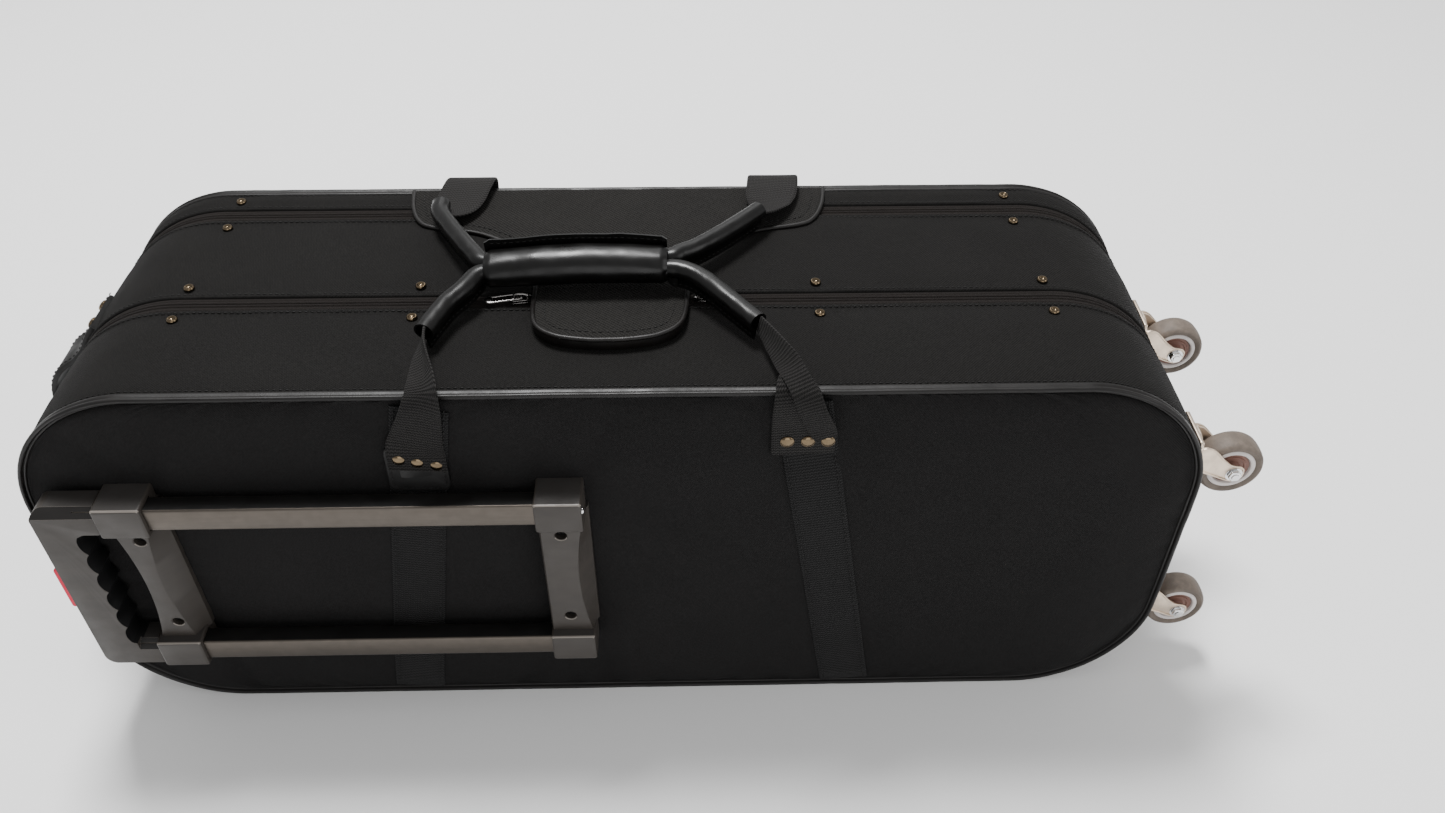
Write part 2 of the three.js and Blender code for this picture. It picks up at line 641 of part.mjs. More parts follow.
// ---- Zipper sliders and pull tabs ------------------------------------------------------------
// Drawn on a level zipper: the tab lies along +X from the slider's bridge.
const PULL_Z = 4.3;
const PULL_LENGTH = 27;
const PULL_W = 8;

function zipSlider() {
  const body = slab(roundedRect(-8, 8, 0, 3, 1), -5, 5, 0, 2);
  const bridge = slab(roundedRect(-4.5, 4.5, 2, PULL_Z + 2.2, 2), -1.5, 1.5, 0, 3);
  const eye = rod('y', -6, 6, 0, PULL_Z, 1.4, 10);
  return cut(join(body, bridge), eye);
}

function pullTab() {
  const half = PULL_W / 2;
  const window = 2.1;
  const [low, high] = [PULL_Z - 0.7, PULL_Z + 0.7];
  const plate = cut(
    box(1.5, PULL_LENGTH, -half, half, low, high),
    box(0, PULL_LENGTH - 7, -window, window, low - 1, high + 1),
  );
  const arms = [-1, 1].map((side) => box(
    -1, PULL_W, Math.min(side * 1.8, side * half), Math.max(side * 1.8, side * half), low, high,
  ));
  const pin = rod('y', -3.5, 3.5, 0, PULL_Z, 1, 8);
  return join(plate, ...arms, pin);
}

function buildZips() {
  const top = HEIGHT + 0.2;
  const pairs = [
    { name: 'front_zip_left', position: [-71, FRONT_ZIP_Y, top], turn: [0, 0, Math.PI] },
    { name: 'front_zip_right', position: [64, FRONT_ZIP_Y, top], turn: [0, 0, 0] },
    { name: 'rear_zip', position: [LENGTH / 2 + 0.2, REAR_ZIP_Y, 122], turn: [0, Math.PI / 2, 0] },
  ];
  for (const { name, position, turn } of pairs) {
    const carrier = new THREE.Group();
    carrier.position.set(...position);
    carrier.rotation.set(...turn);
    sections.zips.add(carrier);
    for (const [suffix, body] of [['slider', zipSlider()], ['pull', pullTab()]]) {
      const mesh = new THREE.Mesh(geometryOf(body), chrome());
      mesh.name = `${name}_${suffix}`;
      carrier.add(mesh);
    }
  }
}

buildMiddle();
buildFront();
buildRear();
buildHandles();
buildTrolley();
buildCasters();
buildZips();

export default bag;
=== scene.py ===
"""A wheeled bowling ball bag: fabric, leather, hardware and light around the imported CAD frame.

Lengths in the geometry code are millimetres in the CAD frame (+X caster end, -Y front, +Z up);
new_object turns them into metres.
"""
import math

import bmesh
import bpy
import numpy as np
from mathutils import Matrix, Vector, noise


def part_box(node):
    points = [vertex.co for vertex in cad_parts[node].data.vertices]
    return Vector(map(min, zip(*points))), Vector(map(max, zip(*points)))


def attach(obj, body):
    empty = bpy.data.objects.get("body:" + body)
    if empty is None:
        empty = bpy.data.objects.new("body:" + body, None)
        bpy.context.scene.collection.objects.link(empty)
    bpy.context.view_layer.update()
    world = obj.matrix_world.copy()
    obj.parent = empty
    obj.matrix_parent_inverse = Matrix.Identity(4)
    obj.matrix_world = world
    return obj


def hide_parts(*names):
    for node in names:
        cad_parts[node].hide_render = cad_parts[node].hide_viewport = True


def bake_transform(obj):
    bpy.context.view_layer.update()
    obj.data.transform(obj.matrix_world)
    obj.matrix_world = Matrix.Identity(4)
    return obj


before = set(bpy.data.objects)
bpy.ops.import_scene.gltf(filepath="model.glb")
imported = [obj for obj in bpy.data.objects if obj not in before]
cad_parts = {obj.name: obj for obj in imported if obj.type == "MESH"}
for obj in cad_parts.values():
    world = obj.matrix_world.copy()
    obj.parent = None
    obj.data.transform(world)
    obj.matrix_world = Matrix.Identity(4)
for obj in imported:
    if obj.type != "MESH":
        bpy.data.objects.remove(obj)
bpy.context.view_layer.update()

MM = 0.001


def node_box(node):
    """Lowest and highest corner of a CAD node, in mm."""
    low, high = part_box(node)
    return np.array(low) / MM, np.array(high) / MM


# ---- Driving dimensions, read from the frame ----
CASE_LOW, CASE_HIGH = node_box("case_shell")
FRONT_HIGH = node_box("front_shell")[1]
REAR_LOW, REAR_HIGH = node_box("rear_shell")
HALF_X = CASE_HIGH[0]
HEIGHT = CASE_HIGH[2]
CORNER_R = 102.0
WALL = 5.0
FRONT_FACE = node_box("front_panel")[0][1]
REAR_FACE = REAR_HIGH[1]
PIPE_SEAM = 3.7
FRONT_ZIP = (FRONT_HIGH[1] + CASE_LOW[1]) / 2
REAR_ZIP = (CASE_HIGH[1] + REAR_LOW[1]) / 2
ZIP_END_Z = 45.0
STRAP_W = 40.0
WRAP_LOW, WRAP_HIGH = node_box("handle_wrap")
WRAP_Y = -10.0
GRIP_OFFSET = 7.3


# ---- Small maths ----
def smoothstep(low, high, x):
    t = np.clip((np.asarray(x, float) - low) / (high - low), 0, 1)
    return t * t * (3 - 2 * t)


def bell(x, middle, width):
    return np.exp(-((np.asarray(x, float) - middle) / width) ** 2)


def fractal(x, y, z, scale, seed):
    """Smooth noise from -1 to 1 for arrays of points, scale in mm."""
    x, y, z = np.broadcast_arrays(x, y, z)
    out = np.empty(x.size)
    for i, (a, b, c) in enumerate(zip(x.ravel(), y.ravel(), z.ravel())):
        point = Vector((a / scale + seed, b / scale - seed, c / scale + 2.3 * seed))
        out[i] = noise.fractal(point, 1.0, 2.0, 3)
    return out.reshape(x.shape)


def spline(points, count):
    """Catmull-Rom through the control rows, each of any width, at evenly spaced parameters."""
    rows = np.array(points, float)
    padded = np.vstack([2 * rows[0] - rows[1], rows, 2 * rows[-1] - rows[-2]])
    t = np.linspace(0, len(rows) - 1, count)
    i = np.minimum(t.astype(int), len(rows) - 2)
    f = (t - i)[:, None]
    a, b, c, d = padded[i], padded[i + 1], padded[i + 2], padded[i + 3]
    square, cube = 2 * a - 5 * b + 4 * c - d, 3 * b - a - 3 * c + d
    return 0.5 * (2 * b + (c - a) * f + square * f ** 2 + cube * f ** 3)


def unit(v):
    return v / np.maximum(np.linalg.norm(v, axis=-1, keepdims=True), 1e-9)


def arc_lengths(points):
    steps = np.linalg.norm(np.diff(points, axis=0), axis=1)
    return np.concatenate([[0], np.cumsum(steps)])


def girth(section):
    """Distances round a closed section, ending where it started."""
    return arc_lengths(np.array([*section, section[0]], float))


# ---- The bag's end-on outline ----
FLAT_X = 2 * (HALF_X - CORNER_R)
FLAT_Z = HEIGHT - 2 * CORNER_R
ARC = math.pi / 2 * CORNER_R
PERIMETER = 2 * FLAT_X + 2 * FLAT_Z + 4 * ARC


def outline(s):
    """x, z and the outward normal, s mm along from the middle of the bottom towards +X."""
    s = np.mod(np.asarray(s, float), PERIMETER)
    x, z, nx, nz = (np.zeros_like(s) for _ in range(4))
    start = 0.0
    cx, cz, top = HALF_X - CORNER_R, CORNER_R, HEIGHT - CORNER_R
    pieces = [
        ("line", FLAT_X / 2, (0, 0), (1, 0), (0, -1)), ("arc", ARC, (cx, cz), -90),
        ("line", FLAT_Z, (HALF_X, cz), (0, 1), (1, 0)), ("arc", ARC, (cx, top), 0),
        ("line", FLAT_X, (cx, HEIGHT), (-1, 0), (0, 1)), ("arc", ARC, (-cx, top), 90),
        ("line", FLAT_Z, (-HALF_X, top), (0, -1), (-1, 0)), ("arc", ARC, (-cx, cz), 180),
        ("line", FLAT_X / 2 + 1, (-cx, 0), (1, 0), (0, -1)),
    ]
    for kind, length, point, *rest in pieces:
        inside = (s >= start) & (s <= start + length)
        along = s - start
        if kind == "line":
            (dx, dz), (ax, az) = rest
            here = (point[0] + dx * along, point[1] + dz * along, ax + 0 * along, az + 0 * along)
        else:
            angle = math.radians(rest[0]) + along / CORNER_R
            c, sn = np.cos(angle), np.sin(angle)
            here = (point[0] + CORNER_R * c, point[1] + CORNER_R * sn, c, sn)
        for target, value in zip((x, z, nx, nz), here):
            target[inside] = value[inside]
        start += length
    return x, z, nx, nz


# ---- Mesh making ----
def new_object(name, verts, faces, uvs=None, auto_angle=None):
    mesh = bpy.data.meshes.new(name)
    mesh.from_pydata((np.asarray(verts, float) * MM).tolist(), [], [tuple(f) for f in faces])
    if uvs is not None:
        layer = mesh.uv_layers.new(name="UVMap")
        layer.data.foreach_set("uv", (np.asarray(uvs, float) * MM).ravel())
    mesh.validate()
    obj = bpy.data.objects.new(name, mesh)
    bpy.context.scene.collection.objects.link(obj)
    mesh.shade_smooth()
    if auto_angle is not None:
        sharpen(obj, auto_angle)
    return obj


def edited(obj, change):
    """The object, after change(bm) on its mesh."""
    bm = bmesh.new()
    bm.from_mesh(obj.data)
    change(bm)
    bm.to_mesh(obj.data)
    bm.free()
    return obj


def sharpen(obj, degrees):
    """Edges steeper than the angle shade as sharp."""
    def mark(bm):
        for edge in bm.edges:
            if len(edge.link_faces) == 2:
                edge.smooth = edge.calc_face_angle(0) < math.radians(degrees)
    return edited(obj, mark)


def face_out(obj):
    return edited(obj, lambda bm: bmesh.ops.recalc_face_normals(bm, faces=bm.faces))


def grid_object(name, points, u, v, closed_u=False, closed_v=False, caps=False, **options):
    """A quad mesh over points[i, j], with u and v in mm: a spacing, or coordinates (one more if closed)."""
    nu, nv = points.shape[:2]
    u, v = (np.arange(n + 1) * at if np.isscalar(at) else at for n, at in ((nu, u), (nv, v)))
    faces, uvs = [], []
    for i in range(nu if closed_u else nu - 1):
        for j in range(nv if closed_v else nv - 1):
            i2, j2 = (i + 1) % nu, (j + 1) % nv
            faces.append((i * nv + j, i2 * nv + j, i2 * nv + j2, i * nv + j2))
            uvs += [(u[i], v[j]), (u[i + 1], v[j]), (u[i + 1], v[j + 1]), (u[i], v[j + 1])]
    if caps:
        for i in (0, nu - 1):
            ring = [i * nv + j for j in range(nv)]
            faces.append(ring if i else ring[::-1])
            uvs += [(u[i], v[j]) for j in (range(nv) if i else reversed(range(nv)))]
    return face_out(new_object(name, points.reshape(-1, 3), faces, uvs, **options))


def apply_modifiers(obj):
    depsgraph = bpy.context.evaluated_depsgraph_get()
    mesh = bpy.data.meshes.new_from_object(obj.evaluated_get(depsgraph))
    obj.modifiers.clear()
    obj.data = mesh
    return obj


def bevelled(obj, width, segments=3, angle=30):
    modifier = obj.modifiers.new("bevel", "BEVEL")
    modifier.width = width * MM
    modifier.segments = segments
    modifier.angle_limit = math.radians(angle)
    modifier.harden_normals = False
    apply_modifiers(obj)
    obj.data.shade_smooth()
    return sharpen(obj, 40)


def extruded(name, verts):
    """The closed solid between two copies of a loop, whose points are listed one copy after the other."""
    n = len(verts) // 2
    faces = [tuple(range(n)), tuple(range(2 * n - 1, n - 1, -1))]
    faces += [(i, (i + 1) % n, n + (i + 1) % n, n + i) for i in range(n)]
    return face_out(new_object(name, verts, faces))


def prism(name, outline_xz, y0, y1, bevel=1.0, segments=3):
    """An outline in X and Z, extruded along Y and bevelled."""
    obj = extruded(name, [(x, y, z) for y in (y0, y1) for x, z in outline_xz])
    return bevelled(obj, bevel, segments) if bevel else obj


def quarter(cx, cz, r, start, steps):
    """Points on a quarter circle, from a starting angle in degrees."""
    angles = np.radians(np.linspace(start, start + 90, steps))
    return [(cx + r * math.cos(a), cz + r * math.sin(a)) for a in angles]


def rounded(x0, x1, z0, z1, r, steps=6):
    """A rectangle's outline with rounded corners."""
    return (quarter(x1 - r, z1 - r, r, 0, steps) + quarter(x0 + r, z1 - r, r, 90, steps)
            + quarter(x0 + r, z0 + r, r, 180, steps) + quarter(x1 - r, z0 + r, r, 270, steps))


def rectangle(x0, x1, z0, z1):
    return [(x0, z0), (x1, z0), (x1, z1), (x0, z1)]


def turn_to(direction):
    """The rotation that takes +Z to a direction."""
    return Vector((0, 0, 1)).rotation_difference(Vector(direction)).to_matrix().to_4x4()


def two_faced(name, top, bottom, flat, shape, angle):
    """A sheet with thickness: two grids of points, joined round their border, with flat UVs in mm."""
    nr, nc = shape
    count = nr * nc
    faces, uvs = [], []
    for i in range(nr - 1):
        for j in range(nc - 1):
            quad = (i * nc + j, i * nc + j + 1, (i + 1) * nc + j + 1, (i + 1) * nc + j)
            faces += [quad, tuple(k + count for k in quad)]
            uvs += [flat[k] for k in quad] * 2
    border = (list(range(nc)) + [i * nc + nc - 1 for i in range(1, nr)]
              + [(nr - 1) * nc + j for j in range(nc - 2, -1, -1)] + [i * nc for i in range(nr - 2, 0, -1)])
    for a, b in zip(border, border[1:] + border[:1]):
        faces.append((a, b, b + count, a + count))
        uvs += [flat[a], flat[b], flat[b], flat[a]]
    return sharpen(face_out(new_object(name, np.vstack([top, bottom]), faces, uvs)), angle)


def cut(obj, *tools):
    for tool in tools:
        modifier = obj.modifiers.new("cut", "BOOLEAN")
        modifier.operation = "DIFFERENCE"
        modifier.solver = "EXACT"
        modifier.object = tool
        bpy.context.view_layer.update()
        apply_modifiers(obj)
        bpy.data.objects.remove(tool)
    return obj


def merged(name, objects):
    """One object from several, keeping their materials and places."""
    bm = bmesh.new()
    materials = []
    for obj in objects:
        offset = len(materials)
        materials += [slot.material for slot in obj.material_slots]
        count = len(bm.faces)
        mesh = obj.data.copy()
        mesh.transform(obj.matrix_world)
        bm.from_mesh(mesh)
        bm.faces.ensure_lookup_table()
        for face in bm.faces[count:]:
            face.material_index += offset
    mesh = bpy.data.meshes.new(name)
    bm.to_mesh(mesh)
    bm.free()
    for obj in objects:
        bpy.data.objects.remove(obj)
    whole = bpy.data.objects.new(name, mesh)
    for item in materials:
        mesh.materials.append(item)
    bpy.context.scene.collection.objects.link(whole)
    return whole


def revolve(name, profile, axis="y", steps=48, closed=True):
    """(radius, along) points turned about an axis through the origin."""
    angles = np.linspace(0, 2 * np.pi, steps, endpoint=False)
    rows = []
    for a in angles:
        c, s = np.cos(a), np.sin(a)
        place = {"x": lambda r, h: (h, r * c, r * s), "y": lambda r, h: (r * c, h, r * s),
                 "z": lambda r, h: (r * c, r * s, h)}[axis]
        rows.append([place(r, h) for r, h in profile])
    points = np.array(rows)
    length = girth(profile)
    turn = np.linspace(0, 2 * np.pi * max(r for r, _ in profile), steps + 1)
    obj = grid_object(name, points, turn, length, closed_u=True, closed_v=closed, auto_angle=35)
    if not closed:
        edited(obj, lambda bm: bmesh.ops.remove_doubles(bm, verts=bm.verts, dist=1e-6))
        sharpen(face_out(obj), 35)
    return obj


def turned(name, profile, axis, steps):
    """A solid of revolution whose profile starts and ends on the axis."""
    return revolve(name, profile, axis, steps, closed=False)


def moved(obj, x, y, z, rotation=None):
    matrix = Matrix.Translation(Vector((x, y, z)) * MM)
    if rotation is not None:
        matrix = matrix @ rotation
    obj.data.transform(matrix)
    return obj


def pipe(name, centres, radii, sides=20, flatten=1.0, up=(0, 0, 1)):
    """A closed round or oval tube along the centre rows."""
    centres = np.asarray(centres, float)
    radii = np.broadcast_to(radii, len(centres))
    tangent = unit(np.gradient(centres, axis=0))
    side = unit(np.cross(tangent, np.array(up, float)))
    lift = np.cross(side, tangent)
    angles = np.linspace(0, 2 * np.pi, sides, endpoint=False)
    ring = (np.cos(angles)[None, :, None] * side[:, None, :]
            + flatten * np.sin(angles)[None, :, None] * lift[:, None, :])
    points = centres[:, None, :] + ring * radii[:, None, None]
    around = np.linspace(0, 2 * np.pi * radii.mean(), sides + 1)
    return grid_object(name, points, arc_lengths(centres), around, closed_v=True, caps=True)


RIBBON_PROFILE = [(-1, 0), (-0.97, 0.8), (-0.9, 1), (-0.6, 1), (-0.3, 1), (0, 1), (0.3, 1), (0.6, 1),
                  (0.9, 1), (0.97, 0.8), (1, 0), (0.97, -0.8), (0.9, -1), (0.45, -1), (0, -1), (-0.45, -1),
                  (-0.9, -1), (-0.97, -0.8)]


def ribbon(name, rows, count, thickness=1.6):
    """A flat strap through rows of (x, y, z, across x, y, z, width, fold); fold bows its cross-section."""
    path = spline([(*row, 0)[:8] for row in rows], count)
    centre, across, width, fold = path[:, :3], path[:, 3:6], path[:, 6], path[:, 7]
    tangent = unit(np.gradient(centre, axis=0))
    across = unit(across - (across * tangent).sum(1, keepdims=True) * tangent)
    normal = np.cross(tangent, across)
    a = np.array([p[0] for p in RIBBON_PROFILE])
    b = np.array([p[1] for p in RIBBON_PROFILE])
    bow = fold[:, None] * (1 - np.abs(a[None, :]) ** 1.4)
    points = (centre[:, None] + across[:, None] * (a[None, :] * width[:, None] / 2)[..., None]
              + normal[:, None] * (b[None, :] * thickness / 2 + bow)[..., None])
    wide = np.concatenate([a, a[:1]]) * STRAP_W / 2
    return grid_object(name, points, arc_lengths(centre), wide, closed_v=True, caps=True, auto_angle=50)


# ---- Materials ----
class Shader:
    """A Principled material whose colour, roughness and bump come from small node chains."""

    def __init__(self, name, roughness=0.5, metallic=0.0, **constants):
        self.material = bpy.data.materials.new(name)
        self.material.use_nodes = True
        self.tree = self.material.node_tree
        self.bsdf = self.tree.nodes["Principled BSDF"]
        self.bsdf.inputs["Roughness"].default_value = roughness
        self.bsdf.inputs["Metallic"].default_value = metallic
        for key, value in constants.items():
            self.bsdf.inputs[key.replace("_", " ")].default_value = value

    def feed(self, socket, value):
        """Links a node's output to the socket, or sets the constant on it."""
        if isinstance(value, bpy.types.NodeSocket):
            self.tree.links.new(value, socket)
        else:
            socket.default_value = (*value, 1) if socket.type == "RGBA" else value

    def node(self, kind, inputs=None, **properties):
        made = self.tree.nodes.new("ShaderNode" + kind)
        for key, value in properties.items():
            setattr(made, key, value)
        for key, value in (inputs or {}).items():
            self.feed(made.inputs[key], value)
        return made

    def math(self, operation, a, b=0.0, c=0.0):
        return self.node("Math", {0: a, 1: b, 2: c}, operation=operation).outputs[0]

    def wave(self, value, period):
        """A sine from -1 to 1 of a length in metres, with its period in mm."""
        return self.math("SINE", self.math("MULTIPLY", value, 2 * math.pi / (period * MM)))

    def uv(self):
        parts = self.node("SeparateXYZ", {0: self.node("UVMap", uv_map="UVMap").outputs[0]})
        return parts.outputs[0], parts.outputs[1]

    def place(self, stretch=(1, 1, 1)):
        coordinates = self.node("TexCoord").outputs["Object"]
        return self.node("Mapping", {"Vector": coordinates, "Scale": stretch}).outputs[0]

    def noise(self, size, detail=3.0, stretch=(1, 1, 1), roughness=0.5):
        """Noise from 0 to 1 with features of about the given size in mm."""
        inputs = {"Vector": self.place(stretch), "Scale": 1 / (size * MM), "Detail": detail,
                  "Roughness": roughness}
        return self.node("TexNoise", inputs).outputs[0]

    def cells(self, size, feature="F1"):
        inputs = {"Vector": self.place(), "Scale": 1 / (size * MM)}
        return self.node("TexVoronoi", inputs, feature=feature).outputs[0]

    def remap(self, value, low, high, to_low, to_high):
        inputs = {"Value": value, "From Min": low, "From Max": high, "To Min": to_low, "To Max": to_high}
        return self.node("MapRange", inputs).outputs[0]

    def mix(self, factor, a, b):
        return self.node("Mix", {0: factor, 6: a, 7: b}, data_type="RGBA").outputs[2]

    def colour(self, value):
        self.feed(self.bsdf.inputs["Base Color"], value)
        return self

    def rough(self, value):
        self.tree.links.new(value, self.bsdf.inputs["Roughness"])
        return self

    def bump(self, *layers):
        """Bumps of (height from 0 to 1, depth in mm), one on another."""
        normal = None
        for height, depth in layers:
            inputs = {"Height": height, "Strength": 1.0, "Distance": depth * MM}
            if normal is not None:
                inputs["Normal"] = normal
            normal = self.node("Bump", inputs).outputs[0]
        self.tree.links.new(normal, self.bsdf.inputs["Normal"])
        return self


def scaled(colour, factor):
    return tuple(c * factor for c in colour)


def twill(name, colour, pitch=1.5, sheen=0.35, contrast=1.0):
    """Twill cloth: diagonal ribs cut by finer cross threads, dusty in places."""
    s = Shader(name, 0.8, Sheen_Weight=sheen, Sheen_Roughness=0.5, Specular_IOR_Level=0.06)
    u, v = s.uv()
    rib = s.wave(s.math("ADD", u, v), pitch)
    thread = s.wave(s.math("SUBTRACT", u, s.math("MULTIPLY", v, 0.25)), pitch * 0.55)
    height = s.math("ADD", s.math("MULTIPLY", rib, 0.32), s.math("MULTIPLY_ADD", thread, 0.14, 0.5))
    dust = s.remap(s.noise(60, 4), 0.35, 0.7, 0, 1)
    fleck = s.remap(s.noise(1.6, 2), 0.3, 0.75, 0, 1)
    base = s.mix(dust, scaled(colour, 0.9), scaled(colour, 1.15))
    ribbed = s.mix(height, scaled(colour, 1 - 0.5 * contrast), base)
    s.colour(s.mix(s.math("MULTIPLY", fleck, 0.3), ribbed, scaled(colour, 2.2)))
    return s.bump((height, 0.25 * contrast), (s.noise(5, 3), 0.12)).material


def webbing(name, colour):
    """Ribbed webbing: picks across the strap, split in two rows of fine columns."""
    s = Shader(name, 0.62, Sheen_Weight=0.02, Sheen_Roughness=0.4, Specular_IOR_Level=0.12)
    along, across = s.uv()
    zigzag = s.math("ABSOLUTE", s.wave(across, 5.2))
    rib = s.wave(s.math("ADD", along, s.math("MULTIPLY", zigzag, 0.0009)), 2.6)
    column = s.wave(across, 1.3)
    height = s.math("ADD", s.math("MULTIPLY", rib, 0.36), s.math("MULTIPLY_ADD", column, 0.12, 0.5))
    s.colour(s.mix(height, scaled(colour, 0.05), scaled(colour, 2.1)))
    return s.bump((height, 0.7), (s.noise(12, 2), 0.3)).material


def leather(name, colour, roughness, grain, depth, crease):
    """Grained leatherette with soft creases and a worn sheen."""
    s = Shader(name, roughness, Specular_IOR_Level=0.3)
    pebble = s.cells(grain, "SMOOTH_F1")
    folds = s.noise(11, 4, (1, 1, 1), 0.6)
    worn = s.remap(s.noise(24, 5), 0.45, 0.7, 0, 1)
    s.colour(s.mix(worn, colour, scaled(colour, 1.5)))
    s.rough(s.remap(s.noise(18, 4), 0.3, 0.7, roughness * 0.8, roughness * 1.25))
    return s.bump((pebble, depth), (folds, crease)).material


def plastic(name, colour, roughness, texture=0.05, variation=0.12):
    """Moulded plastic with a fine spark-eroded texture and handling marks."""
    s = Shader(name, roughness, Specular_IOR_Level=0.3)
    marks = s.remap(s.noise(30, 6, (1, 1, 3), 0.65), 0.35, 0.7, 0, 1)
    s.colour(s.mix(marks, scaled(colour, 1 - variation), scaled(colour, 1 + variation)))
    s.rough(s.remap(s.noise(12, 5), 0.3, 0.7, roughness * 0.85, roughness * 1.2))
    return s.bump((s.noise(0.8, 3), texture), (s.noise(25, 2), 0.12)).material


def metal(name, colour, roughness, stretch=(1, 1, 1), grain=0.02, variation=0.15, size=2.0):
    """Metal with fine directional grain, slight tarnish and scratches."""
    s = Shader(name, roughness, 1.0)
    tarnish = s.remap(s.noise(8, 5), 0.35, 0.7, 0, 1)
    s.colour(s.mix(tarnish, scaled(colour, 1 - variation), scaled(colour, 1 + variation)))
    brushed = s.noise(size, 4, stretch, 0.6)
    s.rough(s.remap(brushed, 0.3, 0.7, roughness * 0.8, roughness * 1.3))
    return s.bump((brushed, grain)).material


def rubber(name, colour):
    s = Shader(name, 0.62, Specular_IOR_Level=0.4)
    scuff = s.remap(s.noise(7, 6, (1, 1, 1), 0.7), 0.4, 0.68, 0, 1)
    s.colour(s.mix(scuff, colour, scaled(colour, 1.45)))
    return s.bump((s.noise(1.2, 4), 0.12), (s.noise(9, 3), 0.25)).material


def foam_material(name, colour):
    s = Shader(name, 0.95, Sheen_Weight=0.2)
    pores = s.cells(1.6)
    s.colour(s.mix(s.remap(pores, 0.1, 0.7, 0, 1), scaled(colour, 1.15), scaled(colour, 0.6)))
    return s.bump((pores, 0.5), (s.noise(15, 3), 0.8)).material


def zip_cloth(name, colour):
    """Zipper tape: a fine herringbone with a stitched line near the teeth."""
    s = Shader(name, 0.7, Sheen_Weight=0.02, Specular_IOR_Level=0.08)
    u, v = s.uv()
    weave = s.wave(s.math("ADD", u, s.math("ABSOLUTE", s.wave(v, 3.0))), 1.1)
    height = s.math("MULTIPLY_ADD", weave, 0.5, 0.5)
    s.colour(s.mix(height, scaled(colour, 0.6), scaled(colour, 1.3)))
    return s.bump((height, 0.15)).material


PALETTE = {
    "shell": twill("shell_twill", (0.0098, 0.0093, 0.0089), 2.2, 0.012, 1.3),
    "panel": twill("panel_twill", (0.0112, 0.0107, 0.0107), 1.8, 0.008, 1.1),
    "flap": twill("flap_twill", (0.0170, 0.0162, 0.0152), 3.2, 0.012, 1.9),
    "vinyl": leather("glossy_vinyl", (0.0036, 0.0029, 0.0026), 0.46, 1.2, 0.03, 0.1),
    "webbing": webbing("black_webbing", (0.0112, 0.0104, 0.0100)),
    "panel_webbing": webbing("panel_webbing", (0.0066, 0.0064, 0.0065)),
    "leather": leather("handle_leather", (0.0016, 0.0015, 0.0014), 0.33, 0.8, 0.03, 0.05),
    "strap_leather": leather("strap_leather", (0.0040, 0.0037, 0.0036), 0.62, 0.9, 0.06, 0.3),
    "patch": leather("patch_vinyl", (0.0040, 0.0037, 0.0036), 0.5, 1.1, 0.05, 0.1),
    "lining": twill("lining_cloth", (0.012, 0.012, 0.013), 0.9, 0.02),
    "thread": plastic("sewing_thread", (0.0060, 0.0056, 0.0053), 0.7),
    "tape": zip_cloth("zipper_tape", (0.0150, 0.0122, 0.0110)),
    "brass": metal("antique_brass", (0.15, 0.112, 0.07), 0.15),
    "nickel": metal("nickel_plate", (0.22, 0.21, 0.205), 0.16),
    "chrome": metal("chrome_plate", (0.80, 0.80, 0.80), 0.12),
    "zinc": metal("yellow_zinc", (0.74, 0.62, 0.50), 0.36, (1, 1, 6), 0.02, 0.12),
    "rail": metal("anodised_rail", (0.100, 0.087, 0.075), 0.38, (0.02, 1, 1), 0.015, 0.06, 1.0),
    "rail_dark": plastic("rail_shadow_side", (0.003, 0.0026, 0.0023), 0.6, 0.01),
    # painted shade for the trolley mouldings' upward faces and front slopes
    "gunmetal_painted_shade_top": plastic("trolley_plastic_painted_shade_top", (0.030, 0.027, 0.025), 0.6, 0.03, 0.1),
    "gunmetal_painted_shade_slope": plastic("trolley_plastic_painted_shade_slope", (0.0095, 0.0082, 0.0076), 0.5, 0.03, 0.1),
    # painted highlight along the mouldings' narrow top front edges
    "painted_highlight_edge": plastic("trolley_plastic_painted_highlight_edge", (0.19, 0.17, 0.15), 0.34, 0.02, 0.1),
    "gunmetal": plastic("trolley_plastic", (0.036, 0.031, 0.027), 0.42, 0.03, 0.1),
    "black_plastic": plastic("black_plastic", (0.004, 0.004, 0.0043), 0.5),
    "dark": plastic("screw_recess", (0.002, 0.0018, 0.0018), 0.5),
    "red": plastic("red_button", (0.62, 0.018, 0.055), 0.6, 0.01, 0.06),
    "tyre": rubber("grey_tread", (0.105, 0.084, 0.068)),
    "rim": plastic("white_rim", (0.60, 0.56, 0.54), 0.4),
    "disc": plastic("red_brown_disc", (0.17, 0.085, 0.065), 0.45),
    "foam": foam_material("grey_foam", (0.08, 0.085, 0.09)),
}


def dress(obj, finish, body=None, replaces=()):
    """Gives a finished piece its material, its body and the CAD nodes it stands for."""
    if finish is not None:
        obj.data.materials.clear()
        obj.data.materials.append(PALETTE[finish])
    if body:
        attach(obj, body)
    if replaces:
        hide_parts(*replaces)
    return obj


